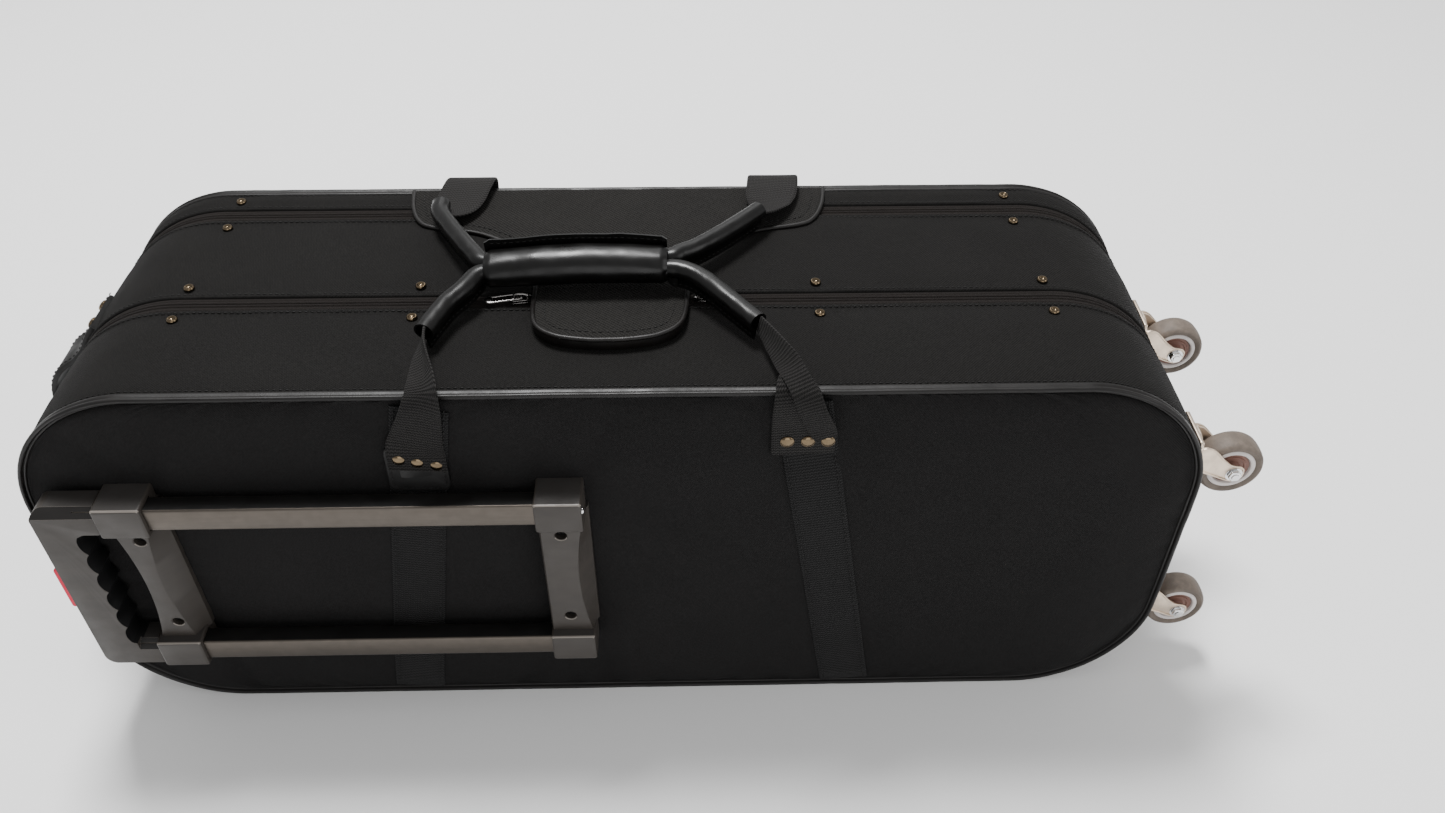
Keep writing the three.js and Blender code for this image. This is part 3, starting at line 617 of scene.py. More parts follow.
# ---- Stitching, rivets and welts ----
def stitches(name, centres, normals, length=3.0, gap=1.4, radius=0.38):
    """Short raised threads laid end to end along a seam, whose normal may be one for all of it."""
    centres = np.asarray(centres, float)
    normals = unit(np.broadcast_to(np.asarray(normals, float), centres.shape))
    run = arc_lengths(centres)
    verts, faces = [], []
    sides = 5
    for start in np.arange(0, run[-1] - length, length + gap):
        ends = []
        for part, lift, r in ((0, -0.15, 0.4), (0.25, 0.3, 1), (0.75, 0.3, 1), (1, -0.15, 0.4)):
            at = start + length * part
            centre = np.array([np.interp(at, run, centres[:, k]) for k in range(3)])
            normal = unit(np.array([np.interp(at, run, normals[:, k]) for k in range(3)]))
            ends.append((centre + normal * lift, normal, r * radius))
        along = unit(ends[-1][0] - ends[0][0])
        base = len(verts)
        for centre, normal, r in ends:
            side = np.cross(along, normal)
            for k in range(sides):
                a = 2 * math.pi * k / sides
                verts.append(centre + r * (math.cos(a) * side + math.sin(a) * normal))
        for ring in range(3):
            for k in range(sides):
                k2 = (k + 1) % sides
                a, b = base + ring * sides, base + (ring + 1) * sides
                faces.append((a + k, a + k2, b + k2, b + k))
        faces.append(tuple(base + k for k in reversed(range(sides))))
        faces.append(tuple(base + 3 * sides + k for k in range(sides)))
    obj = face_out(new_object(name, verts, faces))
    obj.data.materials.append(PALETTE["thread"])
    return obj


# (share of the radius, share of the rise) from the middle of a head to its rim
RIVET_WELL = ((0.0, 0.38), (0.26, 0.4), (0.4, 0.52), (0.54, 0.84), (0.68, 1.0), (0.83, 0.94), (0.95, 0.68),
              (1.0, 0.35))
RIVET_DOME = ((0.0, 1.0), (0.3, 0.97), (0.55, 0.86), (0.76, 0.68), (0.88, 0.5), (0.93, 0.36), (0.97, 0.38),
              (1.0, 0.22))
RIVET_RISE = 2.2


def rivet(name, radius, crown=RIVET_DOME):
    """A rivet head standing on z = 0, either a dome or a rolled rim round a well."""
    profile = [(radius * out, RIVET_RISE * up) for out, up in crown] + [(radius * 0.97, -0.15), (0.0, -0.15)]
    return turned(name, profile, "z", 28)


# ---- Fabric shells ----
PERIMETER_STEP = 6.5
RING_S = np.arange(0, PERIMETER, PERIMETER / round(PERIMETER / PERIMETER_STEP))
RING_U = np.concatenate([RING_S, [PERIMETER]])
ZIP_RIVET_Y = 19.5


def ring_points(s, y, d):
    """Points on the outline pushed out by d, for arrays of the same shape."""
    x, z, nx, nz = outline(s)
    return np.stack([x + nx * d, y, z + nz * d], axis=-1)


def zip_gate(s):
    """1 where the zipper runs, 0 along the bottom."""
    _, z, _, _ = outline(s)
    return smoothstep(ZIP_END_Z - 6, ZIP_END_Z + 2, z)


def gusset_section(y0, y1, zip0, zip1, gate, crown):
    """(y, outward) points of one wall's outer face from y0 to y1; a zipped edge steps down to its tape."""
    def edge(at, way, zipped):
        if zipped:
            drop = -2.4 * gate
            steps = ((0, drop), (7.3, drop), (7.7, -0.5 * gate), (8.4, 0.55 * gate), (9.6, 0.6 * gate),
                     (10.8, 0.0), (12.4, -0.25 * gate))
        else:
            steps = ((0, -1.6), (1.2, -0.6), (3.0, -0.1))
        return [(at + way * along, out) for along, out in steps]
    left, right = edge(y0, 1, zip0), edge(y1, -1, zip1)[::-1]
    a, b = left[-1][0], right[0][0]
    fill = []
    for t in np.linspace(0, 1, max(4, int((b - a) / 6)))[1:-1]:
        fill.append((a + t * (b - a), crown * (1 - (2 * t - 1) ** 4) - 0.15 * gate))
    return left + fill + right


def gusset(name, y0, y1, zip0, zip1, body, replaced, seed, rivet_spots=()):
    """One section's wall: board-stiffened twill, slightly crowned, with soft dents."""
    rows = []
    _, z, _, _ = outline(RING_S)
    gates = zip_gate(RING_S)
    lifted = smoothstep(2, 50, z)
    for s, gate, lift in zip(RING_S, gates, lifted):
        outer = gusset_section(y0, y1, zip0, zip1, gate, 1.3 * lift)
        rows.append(outer + [(y1, -WALL), ((y0 + y1) / 2, -WALL), (y0, -WALL)])
    section = np.array(rows)
    count = len(rows[0]) - 3
    s = np.repeat(RING_S[:, None], section.shape[1], axis=1)
    y, d = section[..., 0], section[..., 1]
    x0, z0, _, _ = outline(s)
    inner = (slice(None), slice(0, count))
    middle = smoothstep(0, 14, np.minimum(y - y0, y1 - y))
    soft = (0.75 * fractal(x0, y, z0, 75, seed) + 0.3 * fractal(x0, y, z0, 22, seed + 5)) * middle
    soft *= lifted[:, None]
    for spot_x, spot_y in rivet_spots:
        soft -= 0.9 * np.exp(-((x0 - spot_x) ** 2 + (y - spot_y) ** 2) / 130.0) * (z0 > HEIGHT / 2)
    d[inner] += soft[inner]
    d[inner] = np.where(z[:, None] < 1.0, np.minimum(d[inner], 0.0), d[inner])
    points = ring_points(s, y, d)
    across = girth(section[len(section) // 2])
    obj = grid_object(name, points, RING_U, across, closed_u=True, closed_v=True, auto_angle=60)
    return dress(obj, "shell", body, replaced)


def row_half_width(z, inset):
    """Half the panel's width at height z."""
    r = CORNER_R - inset
    over = np.maximum(np.abs(z - HEIGHT / 2) - (HEIGHT / 2 - CORNER_R), 0)
    return HALF_X - CORNER_R + np.sqrt(np.maximum(r ** 2 - over ** 2, 0))


PANEL_INSET, PANEL_THICK = 4.6, 4.0
# What differs between the front (-1) and the rear (1)
FACE = {-1: FRONT_FACE, 1: REAR_FACE}
LID = {-1: "front_half", 1: "rear_lid"}
SEED = {-1: 11.5, 1: 23.9}
HANDLE_CENTRES = ((-138, 276), (132, 288))


def cut_shape(x, z, side):
    """The padding as cut and laid: crowned, with slack dents, pulled in at the edge and under the rivets."""
    half = row_half_width(z, PANEL_INSET)
    edge = np.minimum(half - np.abs(x), HEIGHT / 2 - PANEL_INSET - np.abs(z - HEIGHT / 2))
    edge = np.maximum(edge, 0)
    crown = 1.8 * smoothstep(0, 60, edge) - 1.6 * (1 - smoothstep(0, 7, edge))
    dents = 0.9 * fractal(x, 0, z, 130, SEED[side]) + 0.4 * fractal(x, 0, z, 45, SEED[side] + 3)
    pulled = sum(np.exp(-(((x - px) / 34) ** 2 + ((z - pz) / 26) ** 2)) for px, pz in HANDLE_CENTRES)
    return (crown + dents * smoothstep(5, 45, edge)) * (1 - 0.85 * np.minimum(pulled, 1))


SWELL_CAP = 3.2
SWELL_FRAMES = 20
HELD_R = 15
settled = {}  # the simulated padding of each side, as rows, columns and heights


def panel_bulge(x, z, side):
    """How far a panel stands out of its flat face, read from the simulated padding where there is one."""
    if side not in settled:
        return cut_shape(x, z, side)
    x, z = np.broadcast_arrays(np.asarray(x, float), np.asarray(z, float))
    rows, columns, field = settled[side]
    t = np.clip(x / row_half_width(z, PANEL_INSET), -1, 1)
    i = np.clip(np.searchsorted(rows, z) - 1, 0, len(rows) - 2)
    j = np.clip(np.searchsorted(columns, t) - 1, 0, len(columns) - 2)
    a = np.clip((z - rows[i]) / (rows[i + 1] - rows[i]), 0, 1)
    b = np.clip((t - columns[j]) / (columns[j + 1] - columns[j]), 0, 1)
    low = field[i, j] * (1 - b) + field[i, j + 1] * b
    high = field[i + 1, j] * (1 - b) + field[i + 1, j + 1] * b
    return low * (1 - a) + high * a


def swell(side, held_spots, held_boxes):
    """Blows the padding up against its seam, rivets and brackets as cloth, and keeps the capped result."""
    x, z = panel_grid()
    start = cut_shape(x, z, side)
    nr, nc = x.shape
    faces = [(i * nc + j, i * nc + j + 1, (i + 1) * nc + j + 1, (i + 1) * nc + j)[::-side]
             for i in range(nr - 1) for j in range(nc - 1)]
    cover = new_object("swelling_cover", np.stack([x, side * start, z], -1).reshape(-1, 3), faces)
    held = np.zeros((nr, nc), bool)
    held[[0, -1], :] = held[:, [0, -1]] = True
    for px, pz in held_spots:
        held |= (x - px) ** 2 + (z - pz) ** 2 < HELD_R ** 2
    for x0, x1, z0, z1 in held_boxes:
        held |= (x > x0) & (x < x1) & (z > z0) & (z < z1)
    group = cover.vertex_groups.new(name="held")
    group.add(np.flatnonzero(held.ravel()).tolist(), 1.0, "REPLACE")
    modifier = cover.modifiers.new("cloth", "CLOTH")
    cloth = modifier.settings
    cloth.quality, cloth.mass, cloth.time_scale = 6, 0.15, 1.0
    cloth.tension_stiffness = cloth.compression_stiffness = 12
    cloth.shear_stiffness, cloth.bending_stiffness = 5, 0.6
    cloth.vertex_group_mass = group.name
    cloth.use_pressure, cloth.uniform_pressure_force = True, 4.0
    cloth.shrink_min = cloth.shrink_max = -0.012
    cloth.effector_weights.gravity = 0
    modifier.point_cache.frame_start, modifier.point_cache.frame_end = 1, SWELL_FRAMES
    for step in range(1, SWELL_FRAMES + 1):
        bpy.context.scene.frame_set(step)
    depsgraph = bpy.context.evaluated_depsgraph_get()
    grown = np.empty(nr * nc * 3)
    cover.evaluated_get(depsgraph).data.vertices.foreach_get("co", grown)
    grown = side * grown.reshape(nr, nc, 3)[..., 1] / MM
    bpy.context.scene.frame_set(1)
    bpy.data.objects.remove(cover)
    field = start + SWELL_CAP * np.tanh((grown - start) / SWELL_CAP)
    half = row_half_width(z[:, 0], PANEL_INSET)
    settled[side] = z[:, 0], x[nr // 2] / half[nr // 2], np.round(field, 3)


def on_panel(x, z, side, lift):
    """A (x, y, z) point lying on the front or rear padding."""
    out = max(float(panel_bulge(np.array(x, float), np.array(z, float), side)), 0.0)
    return x, FACE[side] + side * (out + lift), z


def panel_grid():
    rise = HEIGHT / 2 - PANEL_INSET
    flat = HEIGHT / 2 - CORNER_R
    r = CORNER_R - PANEL_INSET
    arc = np.linspace(0, math.pi / 2, 14)[::-1]
    low = -(flat + r * np.sin(arc))
    middle = np.linspace(-flat, flat, 20)[1:-1]
    z = HEIGHT / 2 + np.concatenate([low, middle, -low[::-1]])
    z = np.clip(z, HEIGHT / 2 - rise, HEIGHT / 2 + rise)
    t = np.sin(np.linspace(-1, 1, 131) * math.pi / 2 * 0.92) / math.sin(math.pi / 2 * 0.92)
    x = t[None, :] * row_half_width(z, PANEL_INSET)[:, None]
    return x, np.repeat(z[:, None], len(t), axis=1)


def panel(name, side, replaced=()):
    """The front or rear panel: outer padded face, inner flat face, joined round the edge."""
    x, z = panel_grid()
    outer_y = FACE[side] + side * panel_bulge(x, z, side)
    inner_y = np.full_like(x, FACE[side] - side * PANEL_THICK)
    outer = np.stack([x, outer_y, z], -1).reshape(-1, 3)
    inner = np.stack([x, inner_y, z], -1).reshape(-1, 3)
    obj = two_faced(name, outer, inner, list(zip(x.ravel(), z.ravel())), x.shape, 60)
    return dress(obj, "panel", LID[side], replaced)


PIPING_SECTION = [
    # outward offset and how far in front of the seam, round the bead and back along the binding
    (-4.4, 0.0), (-4.4, 1.8), (-3.9, 2.7), (-3.1, 3.0), (-2.5, 2.6), (-2.2, 3.4), (-1.8, 4.4), (-1.0, 5.1),
    (0.0, 5.0), (0.8, 4.3), (1.1, 3.2), (0.8, 2.1), (0.25, 1.5), (0.2, 0.7), (0.6, 0.0), (0.8, -1.3),
    (0.55, -2.6), (0.0, -3.2), (-1.9, -2.8), (-2.0, 0.0),
]


def piping(name, side, replaced):
    """A glossy vinyl bead round the panel edge, with its binding lapped on to the wall."""
    seam = FACE[side] - side * PIPE_SEAM
    s = RING_S[:, None]
    offset = np.array([p[0] for p in PIPING_SECTION])[None, :] + 0 * s
    ahead = np.array([p[1] for p in PIPING_SECTION])[None, :] + 0 * s
    x, z, _, _ = outline(s + 0 * offset)
    ripple = 0.25 * fractal(x, 0 * x, z, 30, 9.0 + side)
    offset = offset + np.where(offset > -4, ripple, 0)
    offset = np.where(z < 2.0, np.minimum(offset, 0.0), offset)
    points = ring_points(s + 0 * offset, seam + side * (ahead + 0.3 * ripple), offset)
    across = girth(PIPING_SECTION)
    obj = grid_object(name, points, RING_U, across, closed_u=True, closed_v=True, auto_angle=80)
    return dress(obj, "vinyl", LID[side], replaced)


def seam_line(name, y, d, body, zipped=True):
    """Stitches on a wall at one y, round the whole outline or only where the zipper runs."""
    s = np.arange(0, PERIMETER, 4.0)
    x, z, nx, nz = outline(s)
    keep = (z > ZIP_END_Z) if zipped else (z > 3.0)
    s, nx, nz = s[keep], nx[keep], nz[keep]
    centres = ring_points(s, np.full_like(s, y), np.full_like(s, d))
    normals = np.stack([nx, 0 * nx, nz], -1)
    obj = stitches(name, centres, normals, 3.0, 1.5)
    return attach(obj, body)


# ---- Zippers ----
def zip_tape(name, zip_y, way, body, replaced):
    """Half a zipper: its tape with a raised hem, and its half of the covered coil."""
    s = np.arange(0, PERIMETER, 5.0)
    _, z, _, _ = outline(s)
    s = s[z > ZIP_END_Z + 0.5]
    section = [(0.35, -2.1), (0.35, -0.9), (0.7, -0.25), (1.6, 0.05), (2.5, -0.3), (2.9, -1.05), (4.6, -1.15),
               (5.0, -0.85), (5.7, -0.8), (6.1, -1.15), (7.5, -1.25), (7.5, -2.1)]
    offset = np.array([p[1] for p in section])[None, :] + 0 * s[:, None]
    y = zip_y + way * np.array([p[0] for p in section])[None, :] + 0 * s[:, None]
    points = ring_points(s[:, None] + 0 * y, y, offset)
    across = girth(section)
    obj = grid_object(name, points, s, across, closed_v=True, caps=True, auto_angle=50)
    return dress(obj, "tape", body, replaced)


# ---- The three walls and their panels ----
FRONT_RIVET_X = (-320, -148, 148, 320)
REAR_RIVET_X = (-315, 315)
FRONT_HANDLE_SPOTS = ((-151, 277), (-138.5, 274), (-125.5, 271), (120, 290), (134.5, 290), (148.5, 290))
REAR_HANDLE_SPOTS = ((-145, 286), (-132, 286), (-119, 286), (112, 286), (125, 286), (138, 286))
BRACKET_AREAS = ((-366, -324, 78, 258), (-60, -20, 78, 258))


FRONT_SEAM, REAR_SEAM = FRONT_FACE + PIPE_SEAM, REAR_FACE - PIPE_SEAM
FRONT_RIVET_Y, CASE_FRONT_RIVET_Y = FRONT_ZIP - ZIP_RIVET_Y, FRONT_ZIP + ZIP_RIVET_Y
CASE_REAR_RIVET_Y, REAR_RIVET_Y = REAR_ZIP - ZIP_RIVET_Y, REAR_ZIP + ZIP_RIVET_Y

gusset("front_gusset", FRONT_SEAM, FRONT_HIGH[1], False, True, "front_half", ["front_shell"], 3.1,
       [(x, FRONT_RIVET_Y) for x in FRONT_RIVET_X])
gusset("middle_gusset", CASE_LOW[1], CASE_HIGH[1], True, True, "case", ["case_shell"], 7.7,
       [(x, CASE_FRONT_RIVET_Y) for x in FRONT_RIVET_X] + [(x, CASE_REAR_RIVET_Y) for x in REAR_RIVET_X])
gusset("rear_gusset", REAR_LOW[1], REAR_SEAM, True, False, "rear_lid", ["rear_shell"], 5.3,
       [(x, REAR_RIVET_Y) for x in REAR_RIVET_X])
swell(-1, FRONT_HANDLE_SPOTS, BRACKET_AREAS)
swell(1, REAR_HANDLE_SPOTS, ())
panel("front_padding", -1, ["front_panel"])
panel("rear_padding", 1)
piping("front_bead", -1, ["front_piping"])
piping("rear_bead", 1, ["rear_piping"])
seam_line("front_bead_stitches", FRONT_SEAM + 4.6, 0.1, "front_half", zipped=False)
seam_line("rear_bead_stitches", REAR_SEAM - 4.6, 0.1, "rear_lid", zipped=False)

zip_tape("front_zip_front_tape", FRONT_ZIP, -1, "front_half", ["front_zip_tape"])
zip_tape("front_zip_case_tape", FRONT_ZIP, 1, "case", ["case_front_zip_tape"])
zip_tape("rear_zip_case_tape", REAR_ZIP, -1, "case", ["case_rear_zip_tape"])
zip_tape("rear_zip_rear_tape", REAR_ZIP, 1, "rear_lid", ["rear_zip_tape"])
for label, y, way, body in (("front", FRONT_ZIP, -1, "front_half"), ("case_front", FRONT_ZIP, 1, "case"),
                            ("case_rear", REAR_ZIP, -1, "case"), ("rear", REAR_ZIP, 1, "rear_lid")):
    seam_line(f"{label}_zip_stitches", y + way * 11.2, 0.25, body)


# ---- Brass rivets ----
TOP_RIVET_R, HANDLE_RIVET_R = 4.1, 5.0


def inner_strip(name, spots, along_y):
    """The metal strip that a row of rivets is clenched on, inside the wall."""
    xs = [s[0] for s in spots]
    low, high = node_box(name)
    strip_low, strip_high = np.array(low), np.array(high)
    if along_y:
        strip_high[2] = HEIGHT - WALL - 0.3
    elif low[1] < 0:
        strip_low[1] = FRONT_FACE + 4.3
    else:
        strip_high[1] = REAR_FACE - 4.3
    x0, x1 = min(xs) - 3, max(xs) + 3
    return prism(name + "_strip", rectangle(x0, x1, strip_low[2], strip_high[2]), strip_low[1], strip_high[1],
                 0.4, 2)


def top_rivets(node, xs, y, body):
    made = [moved(rivet(f"{node}_{i}", TOP_RIVET_R, RIVET_WELL), x, y, HEIGHT + 0.1)
            for i, x in enumerate(xs)]
    whole = merged(node + "_caps", made + [inner_strip(node, [(x, y) for x in xs], True)])
    return dress(whole, "brass", body, [node])


def face_rivets(node, spots, side):
    made = []
    for i, (x, z) in enumerate(spots):
        one = rivet(f"{node}_{i}", HANDLE_RIVET_R)
        made.append(moved(one, x, FACE[side] + side * 3.4, z, turn_to((0, side, 0))))
    whole = merged(node + "_caps", made + [inner_strip(node, spots, False)])
    return dress(whole, "brass", LID[side], [node])


top_rivets("front_lid_rivets", FRONT_RIVET_X, FRONT_RIVET_Y, "front_half")
top_rivets("case_front_rivets", FRONT_RIVET_X, CASE_FRONT_RIVET_Y, "case")
top_rivets("case_rear_rivets", REAR_RIVET_X, CASE_REAR_RIVET_Y, "case")
top_rivets("rear_lid_rivets", REAR_RIVET_X, REAR_RIVET_Y, "rear_lid")
face_rivets("front_handle_rivets", FRONT_HANDLE_SPOTS, -1)
face_rivets("rear_handle_rivets", REAR_HANDLE_SPOTS, 1)


# ---- Straps on the panels ----
STRAP_TOP_Z, STRAP_BOTTOM_Z = 322.0, 9.0


def panel_strap(node, side, top_x, bottom_x):
    """A strap sewn down the panel, following its padding."""
    rows = []
    for z in np.linspace(STRAP_TOP_Z, STRAP_BOTTOM_Z, 26):
        t = (STRAP_TOP_Z - z) / (STRAP_TOP_Z - STRAP_BOTTOM_Z)
        x = top_x + t * (bottom_x - top_x)
        out = float(np.maximum(panel_bulge(np.array(x), np.array(z), side), -0.2)) + 0.9
        rows.append((x, FACE[side] + side * out, z, 1, 0, 0, STRAP_W))
    obj = ribbon(node + "_webbing", rows, 120, 1.7)
    dress(obj, "panel_webbing", LID[side], [node])
    edge_lines = []
    for edge in (-1, 1):
        path = spline(rows, 90)[:, :3]
        path[:, 0] += edge * (STRAP_W / 2 - 3)
        path[:, 1] += side * 0.95
        edge_lines.append(stitches(f"{node}_stitch_{edge}", path, [0, side, 0], 3.2, 1.6, 0.4))
    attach(merged(node + "_stitches", edge_lines), LID[side])
    return obj


panel_strap("front_strap_left", -1, -130, -180)
panel_strap("front_strap_right", -1, 130, 180)
panel_strap("rear_strap_left", 1, -127, -173)
panel_strap("rear_strap_right", 1, 120, 166)


def vinyl_patch(name, x, z, width, height, side):
    """A doubled glossy patch under the rivets, with its edge turned and sewn."""
    loop = np.array(rounded(x - width / 2, x + width / 2, z - height / 2, z + height / 2, 6, 7))
    middle = np.array([x, z])

    def laid(ring, lift):
        out = np.maximum(panel_bulge(ring[:, 0], ring[:, 1], side), 0)
        return np.stack([ring[:, 0], FACE[side] + side * (out + lift), ring[:, 1]], -1)

    edge = ((1.0, 1.0), (1.0, 1.9), (0.97, 2.3), (0.93, 2.1), (0.88, 1.75), (0.8, 1.8), (0.55, 1.85),
            (0.3, 1.8), (0.05, 1.75))
    points = np.array([laid(middle + (loop - middle) * share, lift) for share, lift in edge])
    obj = grid_object(name, points, 3.0, 3.0, closed_v=True, caps=True)
    dress(obj, "patch", LID[side])
    seam = middle + (loop - middle) * 0.86
    fine = spline(laid(np.vstack([seam, seam[:1]]), 1.85), 160)
    line = stitches(name + "_stitches", fine, [0, side, 0], 3.0, 1.5, 0.4)
    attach(line, LID[side])
    return obj


vinyl_patch("front_left_patch", -139.5, 268, 43, 40, -1)


# ---- Carry handles ----
GRIP_R, SLEEVE_R = 6.4, 7.4
FIN_REACH, FIN_HALF, FIN_TILT = 7.6, 0.8, math.radians(12)
ROLL_X = (-97, -60, -30, 5, 37)
ROLL_Z = (351.5, 354.3, 355.6, 355.2, 354.3)
WRAP_DROP = 1.0
# Share of the lip's height, and the offset in Y and Z, up one side and down the other
LIP_SECTION = ((0, 0.9, 0), (0.5, 1.1, 0), (1, 1.0, 0), (1, -0.7, 0.2), (0.5, -1.1, 0), (0, -1.2, 0.2))


def roll_z(x):
    """Height of the wrap's middle line, which arches a little between its ends."""
    return np.interp(x, ROLL_X, ROLL_Z)


def sleeve(node, left, right, grip_y, body, seed):
    """A leather tube sewn round the strap: its seam hangs below it as a thin fin, and its ends are open."""
    inside = [(x, grip_y, roll_z(x)) for x in np.linspace(WRAP_LOW[0] - 2, WRAP_HIGH[0] + 2, 7)]
    centres = spline(left + inside + right, 220)
    x = centres[:, 0]
    wrapped = smoothstep(WRAP_LOW[0] - 6, WRAP_LOW[0] + 6, x)
    wrapped = wrapped * (1 - smoothstep(WRAP_HIGH[0] - 6, WRAP_HIGH[0] + 6, x))
    radii = SLEEVE_R + (GRIP_R - SLEEVE_R) * wrapped
    tangent = unit(np.gradient(centres, axis=0))
    side = unit(np.cross(tangent, [0, 0, 1.0]))
    lift = np.cross(side, tangent)
    angles = np.radians(np.linspace(-64, 244, 26))
    rows = []
    for k, centre in enumerate(centres):
        crease = 0.35 * fractal(centre[0], 9 * np.cos(angles) + centre[1], 9 * np.sin(angles), 17, seed)
        r = radii[k] + crease * (1 - wrapped[k])
        across, high = r * np.cos(angles), 0.92 * r * np.sin(angles)
        fin = FIN_REACH * (1 - wrapped[k])
        root = -0.9 * radii[k]
        slant = math.sin(FIN_TILT) * np.array([0.6, 1, 1, 0.6]) * (fin + 0.9 * radii[k]) * (1 - wrapped[k])
        across = np.concatenate([across, [-FIN_HALF, -FIN_HALF, FIN_HALF, FIN_HALF] + slant])
        drop = (root - fin) * (1 - (1 - math.cos(FIN_TILT)) * (1 - wrapped[k]))
        high = np.concatenate([high, [root, drop, drop, root]])
        rows.append(centre + across[:, None] * side[k] + high[:, None] * lift[k])
    points = np.array(rows)
    mouths = []
    for end, inward in ((0, 1), (len(points) - 1, -1)):
        centre = centres[end]
        rim = centre + (points[end] - centre) * 0.8
        deep = centre + (points[end] - centre) * 0.74 + inward * tangent[end] * 7
        mouths.append([rim, deep])
    points = np.concatenate([[mouths[0][1], mouths[0][0]], points, mouths[1]])
    obj = grid_object(node + "_sleeve", points, 1.6, 1.8, closed_v=True, caps=True, auto_angle=70)
    dress(obj, "leather", body, [node])
    seams = []
    for part in (x < WRAP_LOW[0] - 4, x > WRAP_HIGH[0] + 4):
        for face in (-1, 1):
            drop = (0.9 * radii[part] + FIN_REACH * 0.62)[:, None]
            line = (centres[part] - lift[part] * drop * math.cos(FIN_TILT)
                    + side[part] * (drop * math.sin(FIN_TILT) + face * FIN_HALF))
            seams.append(stitches(f"{node}_thread_{len(seams)}", line, side[part] * face, 3.0, 1.6, 0.34))
    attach(merged(node + "_seam_stitches", seams), body)
    return obj


sleeve("front_handle", [(-131, -82, 348), (-124.5, -62.5, 348.6), (-119, -49, 349.2), (-108.5, -33, 350.3)],
       [(50, -20, 354.2), (60, -27, 353.8), (72, -41, 353), (88.5, -61.5, 351), (101, -77.5, 350)],
       WRAP_Y - GRIP_OFFSET, "front_carry_handle", 4.0)
sleeve("rear_handle", [(-144.5, 84, 347.6), (-142, 68, 348.4), (-125, 36, 350.2), (-108, 8, 351.4)],
       [(47, 2.5, 354.3), (60, 12, 353.6), (81, 34, 352.2), (108, 67, 350.3)],
       WRAP_Y + GRIP_OFFSET, "rear_carry_handle", 6.0)


def wrap():
    """The padded leather wrap: a soft oval roll round both grips, its two edges meeting in an upright lip."""
    xs = np.linspace(WRAP_LOW[0], WRAP_HIGH[0], 70)
    start, stop = math.radians(52), math.radians(318)
    angles = np.linspace(start, stop, 58)
    wide, thick = 16.6, 2.0
    rows = []
    for x in xs:
        t = (x - WRAP_LOW[0]) / (WRAP_HIGH[0] - WRAP_LOW[0])
        end = 1 - 0.14 * (1 - smoothstep(0, 0.03, t)) - 0.14 * smoothstep(0.97, 1, t)
        high = (12.8 + 1.6 * math.sin(math.pi * min(max(t, 0), 1)) ** 0.8) * end
        puff = 0.55 * fractal(x, 14 * np.cos(angles), 14 * np.sin(angles), 45, 2.2)
        crinkle = 0.08 * fractal(x, 14 * np.cos(angles), 14 * np.sin(angles), 9, 8.4)
        gather = 0.35 * np.sin(angles * 9 + 2 * t) * (np.exp(-t / 0.05) + np.exp(-(1 - t) / 0.05))
        grow = puff + crinkle + gather
        y = WRAP_Y + (wide * end + grow) * np.cos(angles)
        z = roll_z(x) - WRAP_DROP + (high + grow) * np.sin(angles)
        out = np.stack([np.full_like(y, x), y, z], -1)
        inner_y = WRAP_Y + (wide - thick) * np.cos(angles[::-1])
        inner_z = roll_z(x) - WRAP_DROP + (high - thick) * np.sin(angles[::-1])
        bore = np.stack([np.full_like(inner_y, x), inner_y, inner_z], -1)
        lip = 8.5 + 0.6 * float(fractal(x, 0, 0, 25, 3.3))
        root = np.array([x, y[0], z[0]])
        lean = np.array([0, -0.22, 1.0])
        tip = [root + lean * lip * up + [0, dy, dz] for up, dy, dz in LIP_SECTION]
        rows.append(np.vstack([bore[-1:], tip, out[1:], bore[:-1]]))
    points = np.array(rows)
    obj = grid_object("wrap_leather", points, xs - xs[0], 1.4, closed_v=True, caps=True, auto_angle=65)
    edited(obj, lambda bm: bmesh.ops.triangulate(bm, faces=[f for f in bm.faces if len(f.verts) > 8]))
    dress(obj, "leather", "front_carry_handle", ["handle_wrap"])
    path = points[2:-2, 5] + [0, -0.1, 1.2]
    line = stitches("wrap_thread", path, [0, -1, 0.2], 3.2, 1.6, 0.36)
    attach(merged("wrap_stitches", [line]), "front_carry_handle")


wrap()


def tail(name, rows, count, case, handle, start, end, thickness=2.0):
    """A webbing end laid from the lid over its edge to the handle."""
    obj = ribbon(name, rows, count, thickness)
    dress(obj, "webbing")
    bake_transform(obj)
    return obj


def lying(side, *places):
    """Strap rows on a panel: (x, z, lift, width) each, level across."""
    return [(*on_panel(x, z, side, lift), 1, 0, 0, width) for x, z, lift, width in places]


FRONT_TURN = ((0, -138, 334), (0, -124, 344))
REAR_TURN = ((0, 139, 334), (0, 125, 344))
tail("front_left_tail", lying(-1, (-139, 267, 3.2, 41), (-138.5, 276, 3.2, 41), (-138, 288, 3.2, 40),
                              (-134, 303, 3.6, 35)) + [
    (-129.5, -139.4, 318, 1, 0, 0.05, 30, 1), (-126.5, -140.8, 329, 1, -0.1, 0.05, 27, 2),
    (-125.5, -138, 338.5, 1, -0.2, 0.2, 25, 3), (-126.5, -130, 343.5, 1, -0.3, 0.4, 24, 4),
    (-129, -117, 346, 0.9, -0.2, 0.8, 22, 5), (-131, -104, 347, 0.7, 0.1, 1, 19, 4),
    (-131.5, -92, 347.6, 0.45, 0.3, 1, 15, 2), (-131.2, -80, 348, 0.3, 0.2, 1, 12.5, 0),
], 190, "front_half", "front_carry_handle", *FRONT_TURN)
